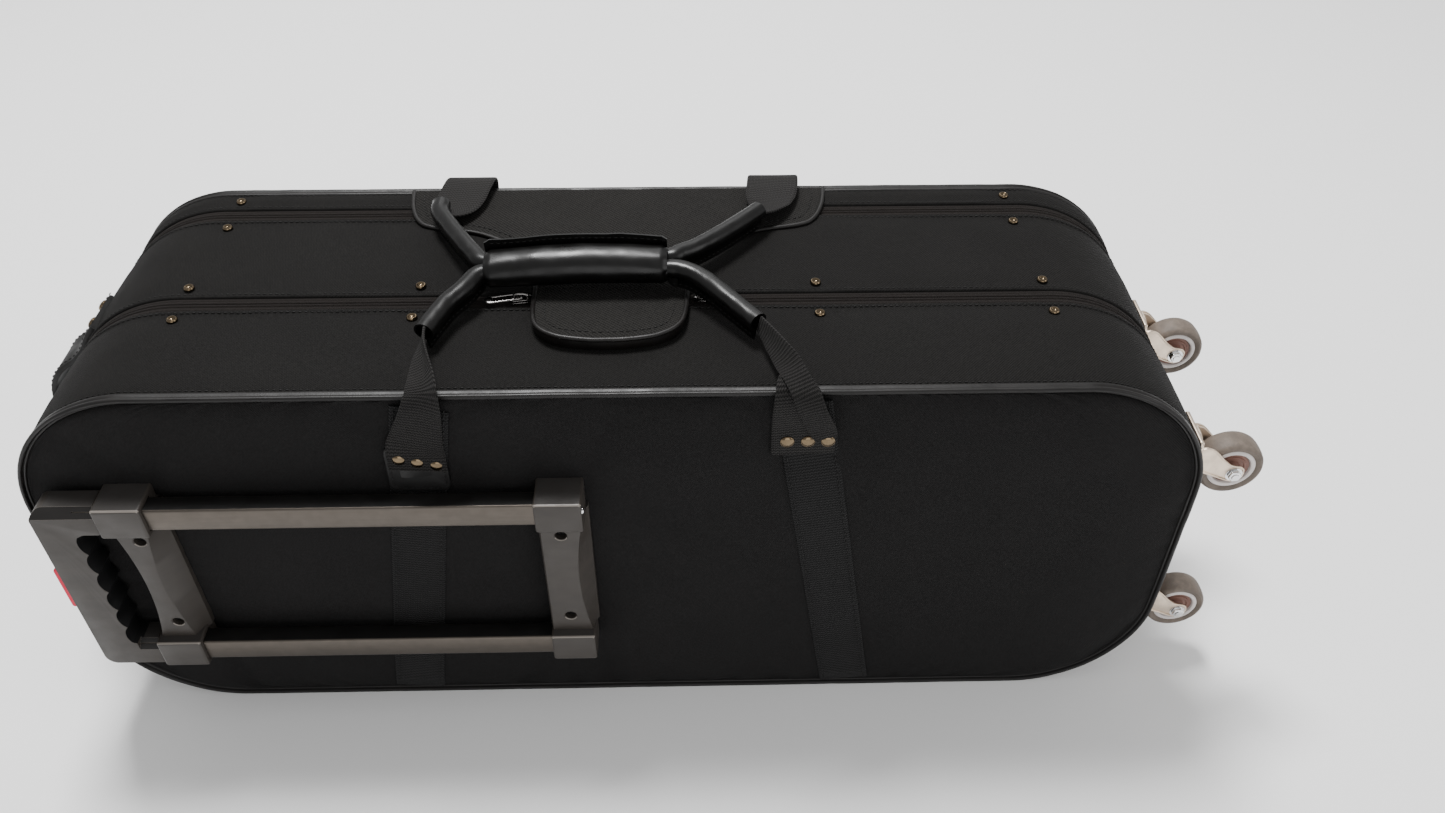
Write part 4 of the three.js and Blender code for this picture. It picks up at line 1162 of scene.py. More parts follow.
tail("front_right_tail", lying(-1, (147, 293, 3.4, 17), (143.5, 302, 4.6, 20)) + [
    (139, -141.4, 315, 1, 0.05, -0.35, 20, 0.5), (134.5, -143.6, 327, 1, 0, -0.4, 19, 0.5),
    (130, -141, 338, 1, -0.2, -0.4, 18.5, 0.5), (124.5, -131, 344.6, 1, -0.5, -0.1, 18, 1),
    (118.5, -117, 347, 1, -0.5, 0.4, 18, 1.5), (112.5, -104, 348.6, 0.8, -0.5, 0.8, 17, 1.5),
    (107, -91, 349.4, 0.6, -0.4, 1, 15, 1), (102, -79, 350, 0.4, -0.4, 1, 12.5, 0),
], 190, "front_half", "front_carry_handle", *FRONT_TURN)
tail("front_right_fold", lying(-1, (131.5, 278, 2.6, 45), (131, 290, 2.6, 45), (129.5, 303, 2.8, 42)) + [
    (127.5, -138.2, 317, 1, 0, 0, 38), (126, -139.6, 329, 1, 0, 0, 34), (125, -136.6, 337.5, 1, 0, -0.1, 30),
    (124.5, -130, 341, 1, -0.1, -0.15, 26), (125, -124, 342.4, 1, -0.2, -0.1, 18),
], 90, "front_half", "front_carry_handle", *FRONT_TURN)
tail("rear_left_tail", lying(1, (-131, 270, 3.2, 40), (-131, 288, 3.2, 40), (-130, 306, 3.4, 40)) + [
    (-128.5, 139.2, 320, 1, 0, 0, 40), (-127.5, 140.6, 331, 1, 0, 0, 40), (-127.3, 137.5, 339, 1, 0, 0, 40),
    (-128, 129, 342.2, 1, 0, 0, 40), (-130, 116, 342.4, 1, -0.15, 0, 40), (-132, 103, 341.4, 1, -0.3, 0, 40),
    (-134.5, 91, 341, 1, -0.35, 0, 36), (-138, 80, 342.5, 1, -0.4, 0, 26),
    (-142, 72, 345.5, 1, -0.5, 0, 12.5),
], 190, "rear_lid", "rear_carry_handle", *REAR_TURN)
tail("rear_right_tail", lying(1, (125, 270, 3.2, 40), (125, 288, 3.2, 40), (125, 306, 3.4, 40)) + [
    (124.5, 139.2, 320, 1, 0, 0, 40), (124, 140.6, 331, 1, 0, 0, 41), (123.5, 137.5, 339, 1, 0, 0, 41),
    (122.8, 129, 342.2, 1, 0, 0, 42), (121.5, 115, 342.6, 1, 0.1, 0, 42), (119, 101, 342, 1, 0.25, 0, 40),
    (116.5, 88, 342.4, 1, 0.3, 0, 33), (112.5, 76, 345.4, 1, -0.1, 0, 22), (108, 66, 350, 1, -0.6, 0, 12.5),
], 190, "rear_lid", "rear_carry_handle", *REAR_TURN)


# ---- The closure flap ----
FLAP_X = -5.0
FLAP_EDGE = [(170, 126), (166, 100), (158, 80), (146, 71), (112, 63), (88, 50), (70, 36), (61, 18), (57, -6),
             (55, -46), (50, -68), (36, -80), (14, -84.5)]
FLAP_TIP = -85.0
FLAP_LIFT = 2.2


def flap_half_width(y):
    """The flap's half width at each y, from its edge curve."""
    half = spline([(x, yy) for x, yy in FLAP_EDGE] + [(0, FLAP_TIP)], 400)
    order = np.argsort(half[:, 1])
    return np.interp(y, half[order, 1], half[order, 0])


def flap_height(x, y):
    """The cloth lies on the bag's top, rides up at the zipper slack and lifts at its tongue."""
    sag = 0.35 * fractal(x, y, 0 * x, 40, 6.1) + 0.5
    tongue = smoothstep(15, FLAP_TIP, y) ** 2 * (7.6 + 0.8 * (np.abs(x - FLAP_X) / 50) ** 2)
    under_wrap = 0.3 * bell(y, 10, 30)
    return HEIGHT + FLAP_LIFT + sag + tongue + under_wrap


def flap():
    ys = np.concatenate([np.linspace(126, 40, 40), np.linspace(37, -77, 50),
                         np.linspace(-78.5, FLAP_TIP + 0.2, 7)])
    t = np.linspace(-1, 1, 61)
    widths = flap_half_width(ys)
    x = FLAP_X + widths[:, None] * t[None, :]
    y = np.repeat(ys[:, None], len(t), axis=1)
    z = flap_height(x, y)
    top = np.stack([x, y, z], -1).reshape(-1, 3)
    bottom = top - [0, 0, 1.3]
    cloth = two_faced("flap_cloth", top, bottom, [tuple(p) for p in top[:, :2]], x.shape, 55)
    dress(cloth, "flap", "rear_lid", ["closure_flap"])
    edge = np.array(FLAP_EDGE + [(0, FLAP_TIP)] + [(-px, py) for px, py in FLAP_EDGE[::-1]], float)
    edge[:, 0] += FLAP_X
    line = spline(edge, 420)
    inward = unit(np.gradient(line, axis=0))[:, ::-1] * [1, -1]
    inward = inward * np.where(((line + inward * 5 - [FLAP_X, 60]) ** 2).sum(1)
                               < ((line - inward * 5 - [FLAP_X, 60]) ** 2).sum(1), 1, -1)[:, None]
    bead_at = line - inward * 0.2
    bead = pipe("flap_bead", np.column_stack([bead_at, flap_height(*bead_at.T) - 0.4]), 1.9, 12, 0.95)
    bead.data.materials.append(PALETTE["vinyl"])
    lip_at = line + inward * 0.5
    top_z = flap_height(*lip_at.T) - 0.8
    foot_z = np.minimum(np.full_like(top_z, HEIGHT + 0.9), top_z - 1.0)
    section = ((0.6, 0), (1.1, 0.35), (0.9, 0.75), (0.2, 1), (-2.4, 1), (-2.6, 0.5), (-2.4, 0))
    wall = [np.column_stack([line - inward * out, top_z + (foot_z - top_z) * down]) for out, down in section]
    band = grid_object("flap_binding", np.stack(wall, axis=1), arc_lengths(wall[0]), 2.0,
                       closed_v=True, caps=True, auto_angle=70)
    band.data.materials.append(PALETTE["vinyl"])
    binding = merged("flap_edging", [bead, band])
    dress(binding, None, "rear_lid")
    sewn_at = line + inward * 8.5
    keep = sewn_at[:, 1] < 120
    sewn_at = sewn_at[keep]
    sewn = np.column_stack([sewn_at, flap_height(*sewn_at.T) + 0.1])
    thread = stitches("flap_stitches", sewn, [0, 0, 1], 3.2, 1.7, 0.42)
    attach(thread, "rear_lid")
    ys = np.linspace(FLAP_TIP, 126, 300)
    area = np.trapz(2 * flap_half_width(ys), ys) * MM * MM


flap()


# ---- Inside the bag ----
BALL_R, BALL_SPACING, BALL_Y = 108.0, 270.0, -18.25


def ball_tray(node, body):
    """A foam block with three round seats whose rims are softly broken."""
    low, high = node_box(node)
    inset = WALL + 0.3
    loop = rounded(inset - HALF_X, HALF_X - inset, inset, HEIGHT - inset, CORNER_R - inset, 12)
    block = prism(node + "_block", loop, low[1], high[1], 0)
    reach = min(abs(low[1] - BALL_Y), abs(high[1] - BALL_Y))
    radius = math.sqrt(BALL_R ** 2 - reach ** 2) + 1.2
    open_side, out = (high[1], 1) if low[1] < 0 else (low[1], -1)
    section = ((0.0, -200), (radius, -200), (radius, -4), (radius + 1.2, -1.3), (radius + 4.5, 0.3),
               (radius + 6, 2), (0.0, 2))
    profile = [(r, along * out) for r, along in section]
    tools = []
    for i in (-1, 0, 1):
        seat = turned(f"{node}_seat{i}", profile, "y", 64)
        tools.append(moved(seat, i * BALL_SPACING, open_side, HEIGHT / 2))
    cut(block, *tools)
    if node == "rear_foam_tray":
        channel = prism("rivet_channel", rectangle(-331, 331, HEIGHT - 8, HEIGHT + 2),
                        CASE_REAR_RIVET_Y - 7.2, CASE_REAR_RIVET_Y + 7.2, 0)
        cut(block, channel)
    block.name = node + "_foam"
    block.data.shade_smooth()
    sharpen(block, 40)
    dress(block, "foam", body, [node])
    return block


ball_tray("front_foam_tray", "front_half")
ball_tray("rear_foam_tray", "case")


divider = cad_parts["divider_panel"].data.materials
divider.clear()
divider.append(PALETTE["lining"])


def hinge_cloth(name, y):
    """The fabric along the bottom that joins two sections."""
    rows = [(x, y, 1.0, 0, 1, 0, 22) for x in np.linspace(-322, 322, 12)]
    obj = ribbon(name, rows, 60, 0.9)
    obj.data.materials.append(PALETTE["shell"])
    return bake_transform(obj)


hinge_cloth("front_hinge_cloth", FRONT_ZIP)
hinge_cloth("rear_hinge_cloth", REAR_ZIP)


END_STRAP_Y = 9.0


def end_handle():
    """A doubled leather strap bowed out from the plain end, its feet sewn and riveted down."""
    line = spline([(-424, 76), (-431, 92), (-444, 116), (-452, 155), (-456, 200), (-454, 230), (-448, 248),
                   (-438, 260), (-426, 268), (-415.9, 278.2), (-407.7, 291.6), (-395, 306)], 144)
    rows = [(x, END_STRAP_Y, z, 0, 1, 0, 42) for x, z in line[::6]]
    strap = ribbon("end_strap", rows, 120, 4.6)
    dress(strap, "strap_leather", "case", ["end_handle"])
    path = np.array([(x, END_STRAP_Y, z) for x, z in line])
    tangent = unit(np.gradient(path, axis=0))
    normal = np.cross(tangent, [0, 1.0, 0])
    normal *= np.sign(normal[len(normal) // 2, 0]) * -1
    sewn = []
    for offset in (-18, 18):
        row = path + [0, offset, 0] + normal * 2.35
        sewn.append(stitches("end_strap_thread", row, normal, 3.4, 1.8, 0.42))
    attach(merged("end_strap_stitches", sewn), "case")
    caps = []
    for i, k in enumerate((5, -9)):
        for j, side in enumerate((-11, 11)):
            place = path[k] + [0, side, 0] + normal[k] * 2.2
            caps.append(moved(rivet(f"end_rivet_{i}{j}", 4.6), *place, turn_to(normal[k])))
    return dress(merged("end_handle_rivets", caps), "brass", "case")


end_handle()


# ---- Trolley handle ----
RAIL_Z = (242.0, 94.0)
RAIL_Y = -150.5
CAP_FACE = node_box("trolley_bracket_left")[0][1]
CROSS_FACE = CAP_FACE + 8
RECESS_Z = (216.0, 125.0)


def bar(name, x0, x1, y, z, depth, height, r=1.2):
    """A rounded rectangular bar along X."""
    loop = rounded(y - depth / 2, y + depth / 2, z - height / 2, z + height / 2, r, 4)
    return sharpen(extruded(name, [(x, a, b) for x in (x0, x1) for a, b in loop]), 40)


def tube_bar(name, x0, x1, y, z, depth, height, wall, r=1.6):
    outer = bar(name, x0, x1, y, z, depth, height, r)
    inner = bar(name + "_bore", x0 - 1, x1 + 1, y, z, depth - 2 * wall, height - 2 * wall, 0.6)
    return cut(outer, inner)


def shade_moulding(obj, first):
    """Painted shade on upward faces and slopes and a painted highlight on the edge before them, from material
    slot first on.
    """
    for finish in ("gunmetal_painted_shade_top", "gunmetal_painted_shade_slope", "painted_highlight_edge"):
        obj.data.materials.append(PALETTE[finish])
    # wide upward faces and wide front slopes take painted shade, narrow upper front edges a painted highlight
    for face in obj.data.polygons:
        up, out = face.normal.z, -face.normal.y
        wide = face.area > 45 * MM * MM
        if face.material_index:
            continue
        if wide and up > 0.92:
            face.material_index = first
        elif wide and up > 0.55 and out > 0.5:
            face.material_index = first + 1
        elif not wide and up > 0.3 and out > 0.22:
            face.material_index = first + 2


def cap(name, x0, x1, z):
    """A rail cap: a block with steeply bevelled shoulders round its face."""
    back, face = FRONT_FACE - 0.3, CAP_FACE
    levels = [(back, 0.0, 1.6), (face + 1.8, 0.0, 1.6), (face + 0.9, 0.25, 1.6), (face + 0.25, 0.9, 1.6),
              (face, 1.8, 1.4)]
    rows = []
    for y, inset, r in levels:
        loop = rounded(x0 + inset, x1 - inset, z - 14 + inset, z + 14 - inset, r, 7)
        rows.append([(x, y, b) for x, b in loop])
    points = np.array(rows)
    return grid_object(name, points, 4.0, 2.0, closed_v=True, caps=True, auto_angle=28)


def crosspiece(name, near, bow, chamfer_at, back_edge):
    """A low bridge between the caps: a flat face and a sloping chamfer whose border bows towards the face."""
    z_low, z_high = RAIL_Z[1] + 10, RAIL_Z[0] - 10
    zs = np.linspace(z_low, z_high, 24)
    back = FRONT_FACE - 0.3
    rows = []
    for z in zs:
        t = (z - (z_low + z_high) / 2) / ((z_high - z_low) / 2)
        left = near + bow * (1 - t * t)
        ridge = chamfer_at - 7.0 * (1 - t * t)
        section = ((left, back), (left, CROSS_FACE + 2.0), (left + 1.2, CROSS_FACE + 0.3),
                   (left + 2.6, CROSS_FACE), (ridge - 1.0, CROSS_FACE), (ridge + 0.4, CROSS_FACE + 0.5),
                   (back_edge - 1.5, back - 8.5), (back_edge, back - 6.5), (back_edge, back))
        rows.append([(x, y, z) for x, y in section])
    points = np.array(rows)
    return grid_object(name, points, zs, 6.0, closed_v=True, caps=True, auto_angle=30)


def bracket(node, cap_x, bridge_args, screw_x, mouth):
    """One moulding with a cap on each rail and a bridge between them, and two screw recesses."""
    caps = [cap(f"{node}_cap{i}", *cap_x, z) for i, z in enumerate(RAIL_Z)]
    bridge = crosspiece(node + bridge_args[0], *bridge_args[1:])
    holes = []
    for z in RECESS_Z:
        well = turned("well", [(0.0, -6), (4.2, -6), (4.4, -0.6), (5.2, 0.2), (5.6, 3), (0.0, 3)], "y", 32)
        well.data.transform(Matrix.Rotation(math.pi, 4, "X"))
        holes.append(moved(well, screw_x, CROSS_FACE, z))
    cut(bridge, *holes)
    for i, item in enumerate(caps):
        z = RAIL_Z[i]
        tools = [bar("socket", *span, RAIL_Y, z, d + 0.6, h + 0.6, 0.8) for span, d, h in mouth]
        cut(item, *tools)
    finished = merged(node + "_moulding", caps + [bridge])
    finished.data.shade_smooth()
    sharpen(finished, 28)
    dress(finished, "gunmetal", "front_half", [node])
    shade_moulding(finished, 1)
    wells = []
    for z in RECESS_Z:
        head = [(0.0, 0.9), (1.2, 0.9), (1.4, 1.6), (3.4, 1.2), (3.7, 0.2), (3.7, -1), (0.0, -1)]
        screw = turned("recessed_screw", head, "y", 28)
        screw.data.transform(Matrix.Rotation(math.pi, 4, "X"))
        wells.append(moved(screw, screw_x, CROSS_FACE + 5.6, z))
    dress(merged(node + "_screws", wells), "dark", "front_half")


RAIL_D, RAIL_H = 15.0, 20.0
TUBE_D, TUBE_H = 12.0, 17.0
RAIL_LOW, RAIL_HIGH = node_box("trolley_rail_upper")
bracket("trolley_bracket_left", (-363.0, -329.0), ("_left_bridge", -362.0, 7.5, -334.0, -327.0), -343.0,
        [((RAIL_LOW[0] - 0.5, -320), RAIL_D, RAIL_H), ((-370, RAIL_LOW[0] + 1), TUBE_D, TUBE_H)])
bracket("trolley_bracket_right", (-58.0, -24.0), ("_right_bridge", -57.5, 0.0, -25.5, -22.0), -42.0,
        [((-66, RAIL_HIGH[0] + 0.5), RAIL_D, RAIL_H)])
for level, z in zip(("upper", "lower"), RAIL_Z):
    rail = tube_bar(f"rail_{level}", RAIL_LOW[0], RAIL_HIGH[0], RAIL_Y, z, RAIL_D, RAIL_H, 1.2)
    dress(rail, "rail", "front_half", [f"trolley_rail_{level}"])
    rail.data.materials.append(PALETTE["rail_dark"])
    for face in rail.data.polygons:
        face.material_index = int(abs(face.normal.z) > 0.97)
    inner_low, inner_high = node_box(f"trolley_tube_{level}")
    inner = tube_bar(f"inner_tube_{level}", inner_low[0], inner_high[0], RAIL_Y, z, TUBE_D, TUBE_H, 1.2, 1.4)
    dress(inner, "rail", "trolley_slide", [f"trolley_tube_{level}"])

GRIP_LOW, GRIP_HIGH = node_box("trolley_grip")
BUTTON_LOW, BUTTON_HIGH = node_box("trolley_button")
SCALLOP_X = -379.0


def trolley_grip():
    """A moulded grip: an arm on each tube and a bar with six finger scallops between them."""
    x_end, x_arm = GRIP_LOW[0], GRIP_HIGH[0]
    z0, z1 = GRIP_LOW[2], GRIP_HIGH[2]
    reach = 2 * (GRIP_HIGH[2] - RAIL_Z[0])
    loop = (quarter(x_end + 9, z0 + 9, 9, 180, 9) + quarter(x_arm - 2, z0 + 2, 2, 270, 9)
            + quarter(x_arm - 2, z0 + reach - 2, 2, 0, 9))
    inner_z0, inner_z1 = z0 + reach, z1 - reach
    step = (inner_z1 - inner_z0) / 6
    for i in range(6):
        for f in np.linspace(0, 1, 9)[:-1]:
            depth = 4.2 * math.sin(math.pi * f) ** 0.7
            loop.append((SCALLOP_X - depth + (3 if i == 0 and f == 0 else 0), inner_z0 + (i + f) * step))
    loop.append((SCALLOP_X + 3, inner_z1))
    loop += (quarter(x_arm - 2, z1 - reach + 2, 2, 270, 9) + quarter(x_arm - 2, z1 - 2, 2, 0, 9)
             + quarter(x_end + 9, z1 - 9, 9, 90, 9))
    body = prism("trolley_grip_moulding", loop, GRIP_LOW[1], GRIP_HIGH[1], 0)
    pocket = prism("pocket", rounded(x_end - 8, x_end + 12, BUTTON_LOW[2] - 0.5, BUTTON_HIGH[2] + 0.5, 1, 3),
                   BUTTON_LOW[1] - 0.5, BUTTON_HIGH[1] + 0.5, 0)
    sockets = [bar("socket", SCALLOP_X + 0.7, -340, RAIL_Y, z, TUBE_D + 0.6, TUBE_H + 0.6, 0.8)
               for z in RAIL_Z]
    slopes = []
    for top, left in ((z1, x_end - 20), (z0 + reach, SCALLOP_X + 1)):
        wedge = [(GRIP_LOW[1] - 5, top + 5), (GRIP_LOW[1] - 5, top - 11.5), (GRIP_LOW[1] + 11.5, top + 5)]
        slopes.append(extruded("slope", [(x, a, b) for x in (left, x_arm + 20) for a, b in wedge]))
    cut(body, pocket, *sockets, *slopes)
    bevelled(body, 0.9, 3, 30)
    dress(body, "gunmetal", "trolley_slide", ["trolley_grip"])
    body.data.materials.append(PALETTE["black_plastic"])
    for face in body.data.polygons:
        x, _, z = face.center / MM
        inside = SCALLOP_X - 5.5 < x < SCALLOP_X + 7 and inner_z0 - 1 < z < inner_z1 + 1
        face.material_index = int(inside and abs(face.normal.y) < 0.6)
    shade_moulding(body, 2)
    return body


trolley_grip()
button = prism("push_button_cap", rounded(BUTTON_LOW[0], BUTTON_HIGH[0], BUTTON_LOW[2], BUTTON_HIGH[2], 2.2),
               BUTTON_LOW[1], BUTTON_HIGH[1], 1.2, 3)
dress(button, "red", "push_button", ["trolley_button"])


def panel_screw(name, x, z, size=4.4):
    """A bright pan-head screw with a cross recess, holding a bracket to the panel."""
    out = float(panel_bulge(np.array(x), np.array(z), -1))
    rim = size + 2.2
    ring = [(0.0, -0.4), (rim, -0.4), (rim, 0.6), (rim - 0.6, 1.0), (0.0, 1.0)]
    crown = [(0.0, 0.9), (size, 0.9), (size, 1.8), (size * 0.8, 2.9), (size * 0.45, 3.3), (0.0, 3.4)]
    washer, head = turned(name + "_washer", ring, "z", 36), turned(name + "_head", crown, "z", 36)
    for turn in (0, math.pi / 2):
        slot_tool = bar("slot", -size * 0.6, size * 0.6, 0, 3.4, 1.1, 2.2, 0.2)
        slot_tool.data.transform(Matrix.Rotation(turn, 4, "Z"))
        cut(head, slot_tool)
    whole = merged(name, [washer, head])
    moved(whole, x, FRONT_FACE - max(out, 0) - 0.1, z, turn_to((0, -1, 0)))
    return dress(whole, "chrome", "front_half")


panel_screw("panel_screw_right", -74.5, 82.5, 4.0)
panel_screw("panel_screw_left", -327, 240.5, 3.4)
pin = turned("cap_pin", [(0.0, -1), (2.6, -1), (2.6, 0.6), (1.9, 1.3), (0.0, 1.6)], "x", 28)
dress(moved(pin, -24, -158, 247), "chrome", "front_half")


# ---- Swivel casters ----
CASTER_Y = {"front": -92.0, "rear": 50.0}
CASTER_Z = {"upper": 240.0, "lower": 76.0}
PLATE_X, AXLE_X, TRAIL = 428.0, 464.0, 18.0


WHEEL_PARTS = {
    # half of each ring's section, as (radius, along the axle), and how many sides it has
    "tread": ([(18.2, -8.6), (20.0, -9.7), (21.8, -9.9), (23.4, -9.0), (24.4, -7.0), (24.8, -4.0),
               (24.95, -1.5)], 72),
    "rim": ([(3.4, -4.0), (13.9, -4.0), (14.3, -7.4), (14.8, -8.7), (15.6, -9.2), (17.0, -9.2),
             (18.1, -8.5)], 64),
    "disc": ([(3.4, -10.6), (6.4, -10.6), (6.9, -9.9), (7.2, -7.6), (9.6, -7.2), (10.0, -7.9), (11.2, -7.9),
              (11.6, -7.0), (13.8, -7.2)], 56),
}


def wheel_part(name, kind):
    """The tyre, the dished white rim or the stepped inner disc, each the same on both sides."""
    half, sides = WHEEL_PARTS[kind]
    return revolve(name, half + [(r, -along) for r, along in half[::-1]], "y", sides)


FORK_LEG = [(3.4, -12.5), (3.4, 8.0), (9.0, 9.0), (15.5, 6.4), (25.5, -3.6), (32.5, -9.4), (41.0, -11.8),
            (43.2, -17.0), (41.0, -23.4), (34.5, -25.0), (21.0, -20.0), (9.0, -14.8)]


def axle_nuts(name):
    """Domed hexagon heads on washers, at both ends of the axle."""
    parts = []
    for along in (-1, 1):
        hexagon = [(5.2 * math.cos(a), 5.2 * math.sin(a)) for a in np.radians(np.arange(6) * 60 + 12)]
        y0, y1 = sorted((along * 14.4, along * 17.4))
        parts.append(prism(f"{name}_head{along}", hexagon, y0, y1, 0.7, 3))
        ring = [(0.0, 13.8 * along), (6.4, 13.8 * along), (6.4, 14.5 * along), (0.0, 14.5 * along)]
        parts.append(turned(f"{name}_washer{along}", ring, "y", 32))
        tip = [(0.0, 17.2 * along), (3.0, 17.2 * along), (2.6, 18.2 * along), (0.0, 18.6 * along)]
        parts.append(turned(f"{name}_tip{along}", tip, "y", 24))
    return merged(name, parts)


def fork(name):
    """Pressed steel: a round base with a rolled edge and two tapering legs with folded borders."""
    base = [(4.4, 3.0), (14.2, 3.0), (15.4, 3.6), (15.6, 4.8), (15.0, 6.0), (13.2, 6.4), (4.4, 6.4)]
    race = [(4.4, 6.2), (9.4, 6.2), (9.6, 7.2), (8.2, 8.2), (4.4, 8.4)]
    parts = [revolve(name + "_base", base, "x", 48), revolve(name + "_race", race, "x", 40)]
    for side in (-1, 1):
        inner, outer = sorted((side * 11.7, side * 13.9))
        parts.append(prism(f"{name}_leg{side}", FORK_LEG, inner, outer, 0.6, 3))
        parts.append(bar(f"{name}_shoulder{side}", 3.4, 6.1, side * 6.8, -2.4, 13.6, 20.6, 0.8))
        edge = spline([(4.2, 7.3)] + [(a, b) for a, b in FORK_LEG[2:]] + [(4.2, -12.0)], 70)
        middle = np.array([22.0, -8.0])
        edge = edge + unit(middle - edge) * 0.5
        fold = [(a, side * 13.9, b) for a, b in edge]
        parts.append(pipe(f"{name}_fold{side}", fold, 0.8, 8, 1.0, up=(0, 1, 0)))
    return merged(name, parts)


def caster_pad(name, y):
    """A moulded block that fills the curve of the end behind two caster plates."""
    low, high = node_box(name)
    zs = np.linspace(low[2], high[2], 40)
    over = np.maximum(np.abs(zs - HEIGHT / 2) - FLAT_Z / 2, 0)
    near = HALF_X - CORNER_R + np.sqrt(CORNER_R ** 2 - over ** 2) + 0.2
    corner = 6.0
    into = np.clip(corner - np.minimum(zs - low[2], high[2] - zs), 0, corner)
    far = np.maximum(high[0] - (corner - np.sqrt(corner ** 2 - into ** 2)), near + 0.4)
    loop = list(zip(near, zs)) + list(zip(far, zs))[::-1]
    block = prism(name + "_block", loop, low[1], high[1], 0.0)
    bevelled(block, 1.0, 2, 50)
    carrier = "front_half" if y < 0 else "case"
    return dress(block, "black_plastic", carrier, [name])


def plate(name):
    """A mounting plate with rounded corners, four rivets and the kingpin head."""
    loop = rounded(-18.8, 18.8, -18.8, 18.8, 3, 6)
    flat = prism(name + "_flat", loop, -2.5, 0, 0.5, 2)
    flat.data.transform(Matrix.Rotation(math.radians(90), 4, "Z"))
    parts = [flat]
    for y in (-14.5, 14.5):
        for z in (-14.5, 14.5):
            dome = [(0.0, 4.0), (1.2, 3.9), (2.2, 3.3), (2.6, 2.4), (0.0, 2.4)]
            fixed = turned("plate_rivet", dome, "x", 20)
            parts.append(moved(fixed, 0, y, z))
    parts.append(turned("kingpin", [(0.0, 2.2), (4.0, 2.2), (4.0, 6.4), (6.4, 6.4), (6.4, 7.4), (5.4, 8.4),
                                    (0.0, 8.6)], "x", 28))
    return merged(name, parts)


for section, y in CASTER_Y.items():
    carrier = "front_half" if section == "front" else "case"
    caster_pad(f"{section}_caster_pad", y)
    for level, z in CASTER_Z.items():
        caster = f"{section}_{level}"
        swivel, wheel, axle = f"{caster}_swivel", f"{caster}_wheel", (AXLE_X, y, z - TRAIL)
        for make, suffix, body, node in ((plate, "plate_pressing", carrier, "plate"),
                                         (fork, "fork_pressing", swivel, "fork")):
            dress(moved(make(f"{caster}_{suffix}"), PLATE_X, y, z), "zinc", body,
                  [f"{caster}_caster_{node}"])
        dress(moved(axle_nuts(f"{caster}_axle_nuts"), *axle), "chrome", swivel)
        for kind, finish, slot, nodes in (("tread", "tyre", "tyre_rubber", [f"{caster}_caster_tyre"]),
                                          ("rim", "rim", "hub_plastic", [f"{caster}_caster_hub"]),
                                          ("disc", "disc", "hub_plastic", [])):
            dress(moved(wheel_part(f"{caster}_{kind}", kind), *axle), finish, wheel, nodes)


# ---- Zipper sliders and their pulls ----
def slider(name):
    """A two-winged slider with a cast bridge for the pull."""
    wings = []
    for lift, thick in ((0.0, 1.0), (1.9, 1.1)):
        half = [(-8, -2.6), (-6.5, -3.4), (-1, -3.8), (5.5, -5), (7.6, -4.4), (8, -3)]
        loop = half + [(x, -y) for x, y in half[::-1]]
        wing = prism(f"{name}_wing{lift}", loop, lift, lift + thick, 0.35, 2)
        wing.data.transform(Matrix.Rotation(math.radians(90), 4, "X"))
        wings.append(face_out(wing))
    core = bar(f"{name}_core", -4, 6, 0, 1.45, 2.4, 2.0, 0.4)
    arch = spline([(-5.2, 2.8), (-4.6, 5.4), (-2.4, 6.5), (0, 6.6), (2.4, 6.5), (4.6, 5.4), (5.2, 2.8)], 40)
    bridge = pipe(f"{name}_bridge", np.array([(a, 0.0, b) for a, b in arch]), 1.05, 12, 1.5, up=(0, 1, 0))
    return merged(name, wings + [core, bridge])


def pull(name):
    """A rectangular wire-like pull with a solid tip, looped through the slider's bridge."""
    half = [(0.2, -2.9), (3, -3.2), (20, -3.2), (23.5, -3.2), (25.8, -2.0)]
    wire = spline(half + [(26.4, 0)] + [(x, -y) for x, y in half[::-1]], 90)
    frame_wire = pipe(name + "_wire", np.column_stack([wire, np.full(len(wire), 4.3)]), 0.85, 10, 0.85)
    pin = pipe(name + "_pin", [(0.0, y, 4.3) for y in np.linspace(-3.3, 3.3, 5)], 0.85, 12, up=(0, 0, 1))
    tip = prism(name + "_tip", rounded(20.4, 26.6, -3.4, 3.4, 2.4, 6), -5.1, -3.5, 0.45, 3)
    tip.data.transform(Matrix.Rotation(math.radians(-90), 4, "X"))
    return merged(name, [frame_wire, pin, face_out(tip)])


ZIP_PLACES = {
    "front_zip_left": ((-71, FRONT_ZIP, HEIGHT + 0.2), Matrix.Rotation(math.pi, 4, "Z")),
    "front_zip_right": ((64, FRONT_ZIP, HEIGHT + 0.2), Matrix.Identity(4)),
    "rear_zip": ((HALF_X + 0.2, REAR_ZIP, 122), Matrix.Rotation(math.pi / 2, 4, "Y")),
}
PULL_SWING = {"front_zip_left": 12, "front_zip_right": -34, "rear_zip": 0}
for zipper, (spot, turn) in ZIP_PLACES.items():
    dress(moved(slider(zipper + "_slider_casting"), *spot, turn), "nickel", zipper + "_slide",
          [zipper + "_slider"])
    slack = Matrix.Rotation(math.radians(PULL_SWING[zipper]), 4, "Z")
    dress(moved(pull(zipper + "_pull_wire"), *spot, turn @ slack), "nickel", zipper + "_tab",
          [zipper + "_pull"])


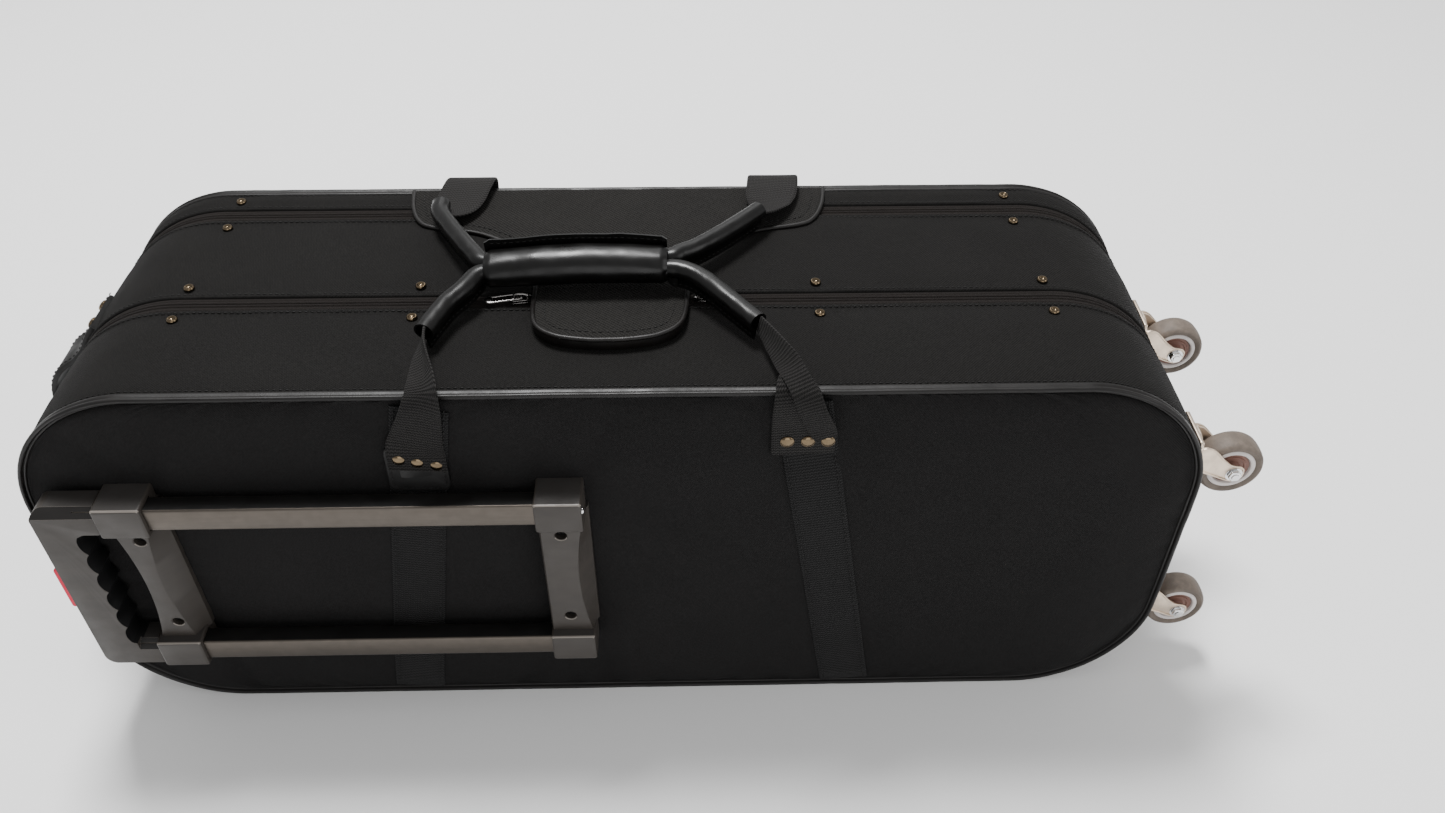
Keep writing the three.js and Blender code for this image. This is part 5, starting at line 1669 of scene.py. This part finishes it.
# ---- Floor, light and camera ----
LAMPS = (  # name, place and target in metres, size, power
    ("key", (-0.4, 0.9, 3.2), (0, 0, 0.2), 0.8, 165),
    ("front", (0.3, -3.2, 0.9), (0, 0, 0.2), 2.4, 34),
    ("side", (2.4, -0.8, 1.4), (0.1, 0, 0.2), 1.4, 16),
    ("back", (0.2, 2.6, 2.4), (0, 0, 0.3), 1.8, 16),
)
SKY = 0.60
FLOOR_HALF, FLOOR_Z = 6000, -0.3


def stage():
    corners = rectangle(-FLOOR_HALF, FLOOR_HALF, -FLOOR_HALF, FLOOR_HALF)
    floor = new_object("floor", [(x, y, FLOOR_Z) for x, y in corners], [(0, 1, 2, 3)])
    s = Shader("pale_floor", 0.9)
    s.colour((0.92, 0.92, 0.92))
    floor.data.materials.append(s.material)
    world = bpy.data.worlds.new("studio")
    world.use_nodes = True
    world.node_tree.nodes["Background"].inputs[0].default_value = (1, 1, 1, 1)
    world.node_tree.nodes["Background"].inputs[1].default_value = SKY
    bpy.context.scene.world = world
    for name, place, target, size, power in LAMPS:
        light = bpy.data.lights.new(name, "AREA")
        light.energy, light.size = power, size
        lamp = bpy.data.objects.new(name, light)
        lamp.location = place
        lamp.rotation_euler = (Vector(target) - Vector(place)).to_track_quat("-Z", "Y").to_euler()
        bpy.context.scene.collection.objects.link(lamp)


VIEW_FROM = (58.1, -726.9, 848.6)
VIEW_TURN = (0.0283, 0.7262, 0.0067)
LENS = 29.18


def camera():
    """A three-quarter view from above the front panel, a little right of the middle."""
    data = bpy.data.cameras.new("camera")
    data.sensor_width = 36.0
    data.lens = LENS
    view = bpy.data.objects.new("camera", data)
    yaw, pitch, roll = VIEW_TURN
    ahead = Vector((math.sin(yaw) * math.cos(pitch), math.cos(yaw) * math.cos(pitch), -math.sin(pitch)))
    right = Vector((math.cos(yaw), -math.sin(yaw), 0))
    up = right.cross(ahead)
    across = math.cos(roll) * right + math.sin(roll) * up
    rise = -math.sin(roll) * right + math.cos(roll) * up
    turn = Matrix((across, rise, -ahead)).transposed()
    view.matrix_world = Matrix.Translation(Vector(VIEW_FROM) * MM) @ turn.to_4x4()
    bpy.context.scene.collection.objects.link(view)
    bpy.context.scene.camera = view


stage()
camera()
